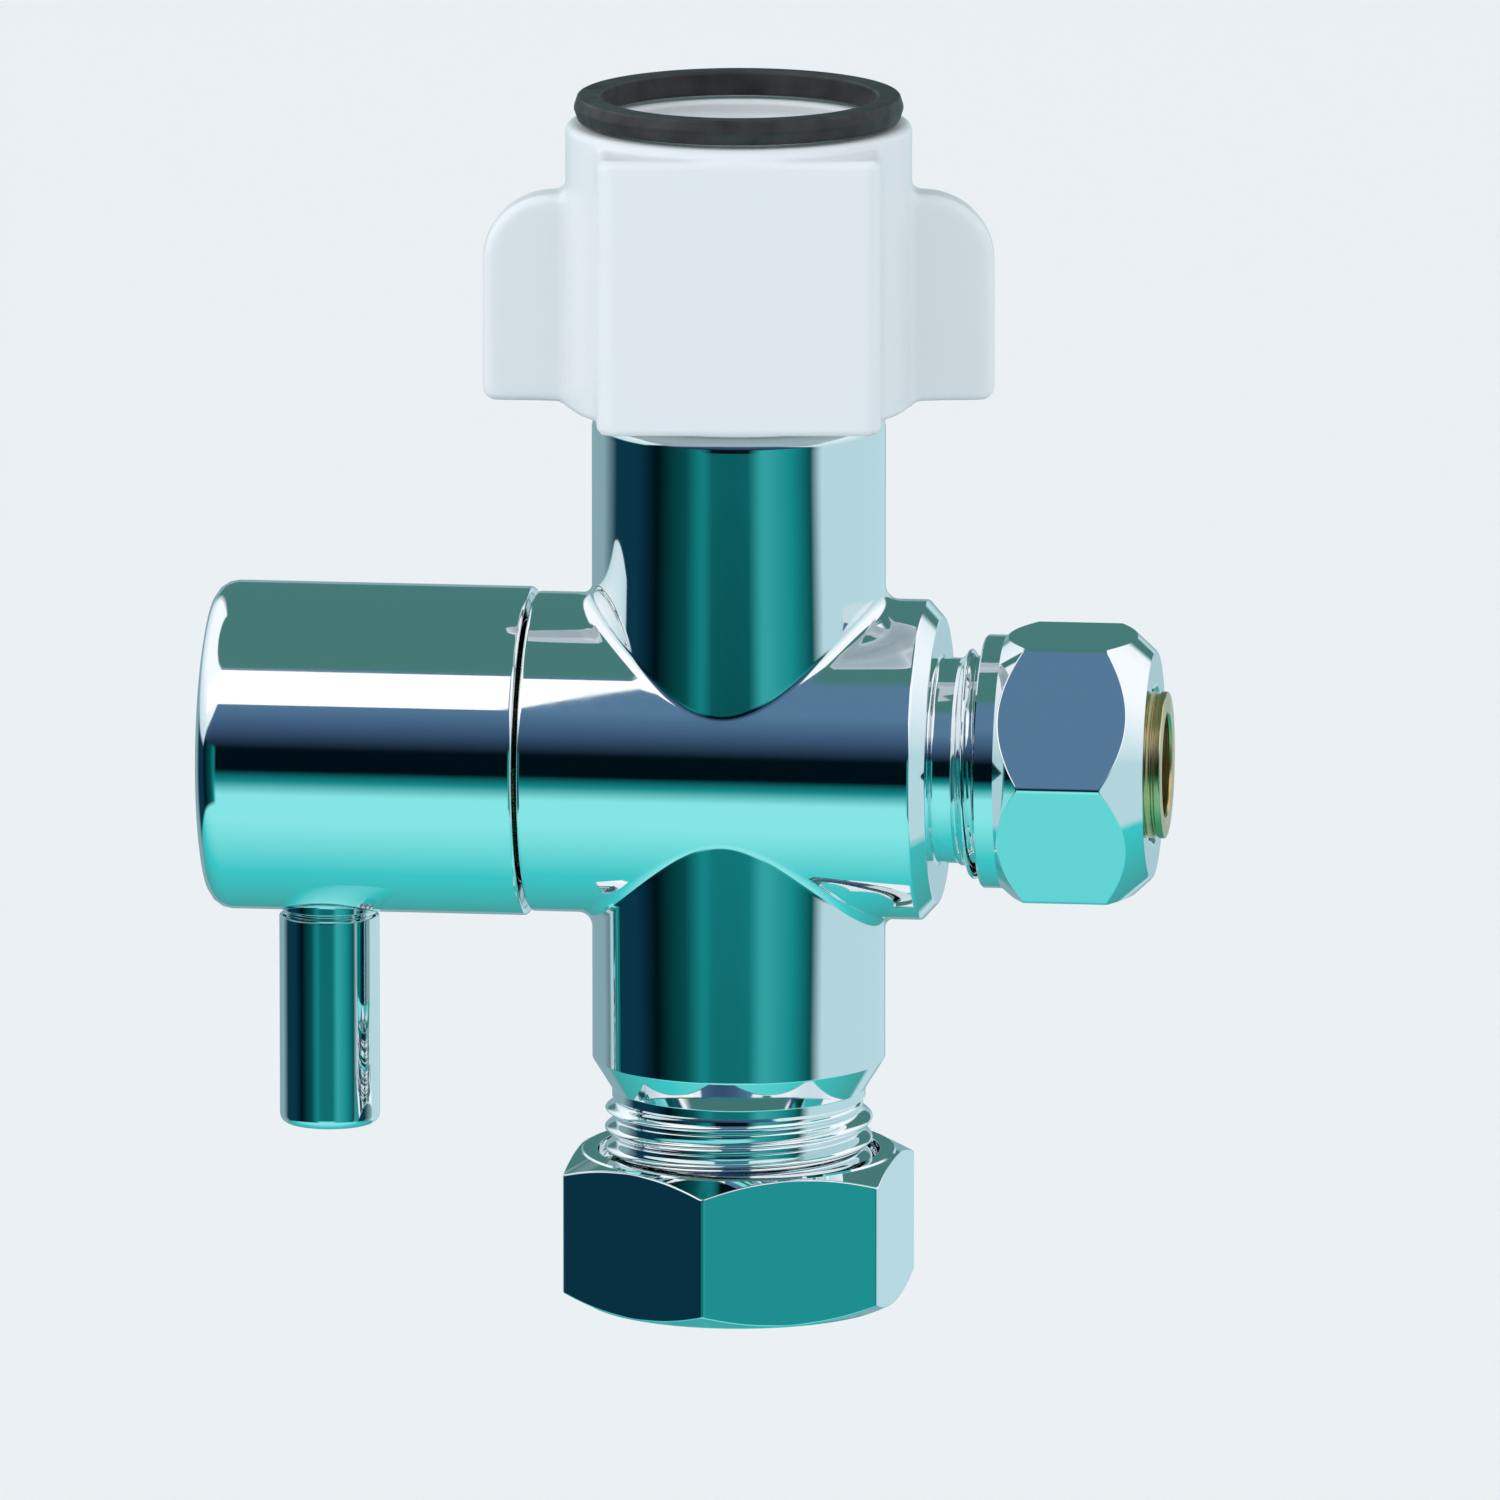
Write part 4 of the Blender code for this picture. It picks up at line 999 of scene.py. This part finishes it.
# The room that mirrors see, as (degrees, colour) stops. RISE goes over it from behind through the
# front, AROUND goes round its walls, and WINDOW goes up the bright openings over them.
RISE = [(-180, MOSS), (-90, TURQUOISE), (-45, CYAN), (-25, CYAN), (-15, TEAL), (-7, INK),
        (8, INK), (25, STEEL_BLUE), (40, SLATE), (62, SLATE), (68, MOSS), (180, MOSS)]
AROUND = [(-180, MIST), (-125, MIST), (-105, NAVY), (-80, NAVY), (-60, INK), (-35, PETROL),
          (-20, TEAL), (28, SEA), (48, TEAL), (65, PETROL), (75, PALE), (170, PALE), (180, MIST)]
WINDOW = [(0, PALE), (30, SNOW), (60, SNOW)]
WALL_FOOT = (-0.53, -0.48)                       # where the walls begin and end, as a direction's Z
WALL_HEAD = (0.12, 0.17)
WALL_START = (14.0, 24.0)                        # degrees aside at which the walls begin
ROOM_STRENGTH = 1.12                             # makes up for what chrome plate absorbs
MATT_LIGHT = (0.74, 0.77, 0.79)                  # what matt surfaces see in every direction


def absolute(tree, value):
    """Add a node that drops a value's sign."""
    node = tree.nodes.new("ShaderNodeMath")
    node.operation = "ABSOLUTE"
    tree.links.new(value, node.inputs[0])
    return node.outputs["Value"]


def window_mask(tree, aside, rise):
    """Share of window in each direction: two bright openings left and right of the viewer."""
    opened = multiply(tree, remap(tree, aside, 0.0, 1.0, 17.0, 20.0),
                      remap(tree, aside, 1.0, 0.0, 150.0, 156.0))
    sill = remap(tree, aside, 36.0, 3.0, 20.0, 72.0)
    over_sill = remap(tree, math_node(tree, "SUBTRACT", rise, sill), 0.0, 1.0, -1.5, 1.5)
    under_head = remap(tree, rise, 1.0, 0.0, 62.0, 65.0)
    return multiply(tree, opened, multiply(tree, over_sill, under_head))


def make_world():
    """Even neutral light for matt surfaces, and a room in teal that only mirrors see."""
    world = bpy.data.worlds.new("studio")
    world.use_nodes = True
    bpy.context.scene.world = world
    tree = world.node_tree
    place = tree.nodes.new("ShaderNodeTexCoord")
    split = tree.nodes.new("ShaderNodeSeparateXYZ")
    tree.links.new(place.outputs["Generated"], split.inputs["Vector"])
    across, height = split.outputs["X"], split.outputs["Z"]
    forward = math_node(tree, "MULTIPLY", split.outputs["Y"], -1.0)
    to_degrees = 180.0 / math.pi
    rise = math_node(tree, "MULTIPLY", math_node(tree, "ARCTAN2", height, forward), to_degrees)
    round_ = math_node(tree, "MULTIPLY", math_node(tree, "ARCTAN2", across, forward), to_degrees)
    aside = absolute(tree, round_)
    elevation = math_node(tree, "MULTIPLY", math_node(tree, "ARCSINE", height, 0.0), to_degrees)
    upright = multiply(tree, remap(tree, height, 0.0, 1.0, *WALL_FOOT),
                       remap(tree, height, 1.0, 0.0, *WALL_HEAD))
    walled = multiply(tree, upright, remap(tree, aside, 0.0, 1.0, *WALL_START))
    walls = blend(tree, walled, ramp(tree, rise, 180.0, RISE), ramp(tree, round_, 180.0, AROUND))
    room = blend(tree, window_mask(tree, aside, elevation), walls,
                 ramp(tree, elevation, 90.0, WINDOW))
    paths = tree.nodes.new("ShaderNodeLightPath")
    mirror = tree.nodes.new("ShaderNodeMix")
    mirror.data_type = "RGBA"
    mirror.inputs["A"].default_value = (*MATT_LIGHT, 1.0)
    tree.links.new(paths.outputs["Is Glossy Ray"], mirror.inputs["Factor"])
    tree.links.new(room, mirror.inputs["B"])
    background = tree.nodes["Background"]
    background.inputs["Strength"].default_value = ROOM_STRENGTH
    tree.links.new(mirror.outputs["Result"], background.inputs["Color"])


PANEL_DISTANCE = 250 * MM
PANEL_ELEVATION = math.radians(50)
PANEL_CORNERS = ((-400, -53), (-50, -53), (-32, 56), (-400, 56))    # across and up, in mm


def make_panel():
    """Hang a white panel up in front, where only mirrors see it: the knob's highlight."""
    mesh = bpy.data.meshes.new("panel")
    along = Vector((0.0, -math.cos(PANEL_ELEVATION), math.sin(PANEL_ELEVATION)))
    upward = Vector((0.0, math.sin(PANEL_ELEVATION), math.cos(PANEL_ELEVATION)))
    centre = Vector((0.0, 0.0, AXIS_Z)) + along * PANEL_DISTANCE
    corners = [centre + Vector((x * MM, 0.0, 0.0)) + upward * (t * MM) for x, t in PANEL_CORNERS]
    mesh.from_pydata([tuple(corner) for corner in corners], [], [(0, 1, 2, 3)])
    panel = bpy.data.objects.new("panel", mesh)
    bpy.context.scene.collection.objects.link(panel)
    material, _, shader = new_material("panel_glow", (0.0, 0.0, 0.0))
    shader.inputs["Emission Color"].default_value = (1.0, 1.0, 1.0, 1.0)
    shader.inputs["Emission Strength"].default_value = 1.2
    mesh.materials.append(material)
    panel.visible_camera = False
    panel.visible_diffuse = False
    panel.visible_shadow = False
    panel.visible_transmission = False


def aim(obj, target):
    """Point an object's -Z at a place."""
    direction = Vector(target) - obj.location
    obj.rotation_euler = direction.to_track_quat("-Z", "Y").to_euler()


def soft_sun(name, direction, strength):
    """Add an even light from a direction, soft as a wide panel's, that mirrors don't see."""
    light = bpy.data.lights.new(name, "SUN")
    light.angle = SUN_SOFTNESS
    light.energy = strength
    lamp = bpy.data.objects.new(name, light)
    lamp.location = direction
    lamp.visible_glossy = False
    bpy.context.scene.collection.objects.link(lamp)
    aim(lamp, (0.0, 0.0, 0.0))


def make_camera():
    """Aim a long lens at the valve from the front, a little to the right and above."""
    target = Vector((0.0, 0.0, AXIS_Z)) + Vector(FRAME_CENTRE)
    direction = Vector((math.sin(CAMERA_AZIMUTH) * math.cos(CAMERA_ELEVATION),
                        -math.cos(CAMERA_AZIMUTH) * math.cos(CAMERA_ELEVATION),
                        math.sin(CAMERA_ELEVATION)))
    data = bpy.data.cameras.new("camera")
    data.lens = CAMERA_LENS
    data.clip_end = 100.0
    camera = bpy.data.objects.new("camera", data)
    camera.location = target + direction * CAMERA_DISTANCE
    bpy.context.scene.collection.objects.link(camera)
    aim(camera, target)
    bpy.context.scene.camera = camera
    bpy.context.scene.view_settings.view_transform = "Standard"


def main():
    chrome, brass, steel = make_chrome(), make_brass(), make_steel()
    rubber, plastic = make_rubber(), make_plastic()
    finishes = {"chrome_plate": chrome, "brass": brass, "spring_steel": steel,
                "black_rubber": rubber, "white_plastic": plastic,
                "white_ceramic": make_ceramic(), "glide_plastic": make_glide_plastic()}
    make_body(chrome)
    make_knob(chrome)
    make_pin(chrome)
    make_grub_screw(steel)
    make_inlet_nut(chrome)
    make_outlet_nut(chrome)
    make_collars(brass)
    make_flat_washer("inlet_flat_washer", "inlet_washer", WATERWAY_R, False, "inlet_union", rubber)
    make_flat_washer("outlet_flat_washer", "outlet_washer", OUTLET_BORE_R, True, "outlet_union",
                     rubber)
    make_tank_nut(plastic)
    make_mouth_ring(rubber)
    make_cone_washer(rubber)
    paint_carried_nodes(finishes)
    make_floor()
    make_world()
    make_panel()
    soft_sun("key", (-1.3, -0.9, 0.96), 1.15)
    soft_sun("fill", (1.2, -1.0, 0.36), 0.45)
    make_camera()


main()
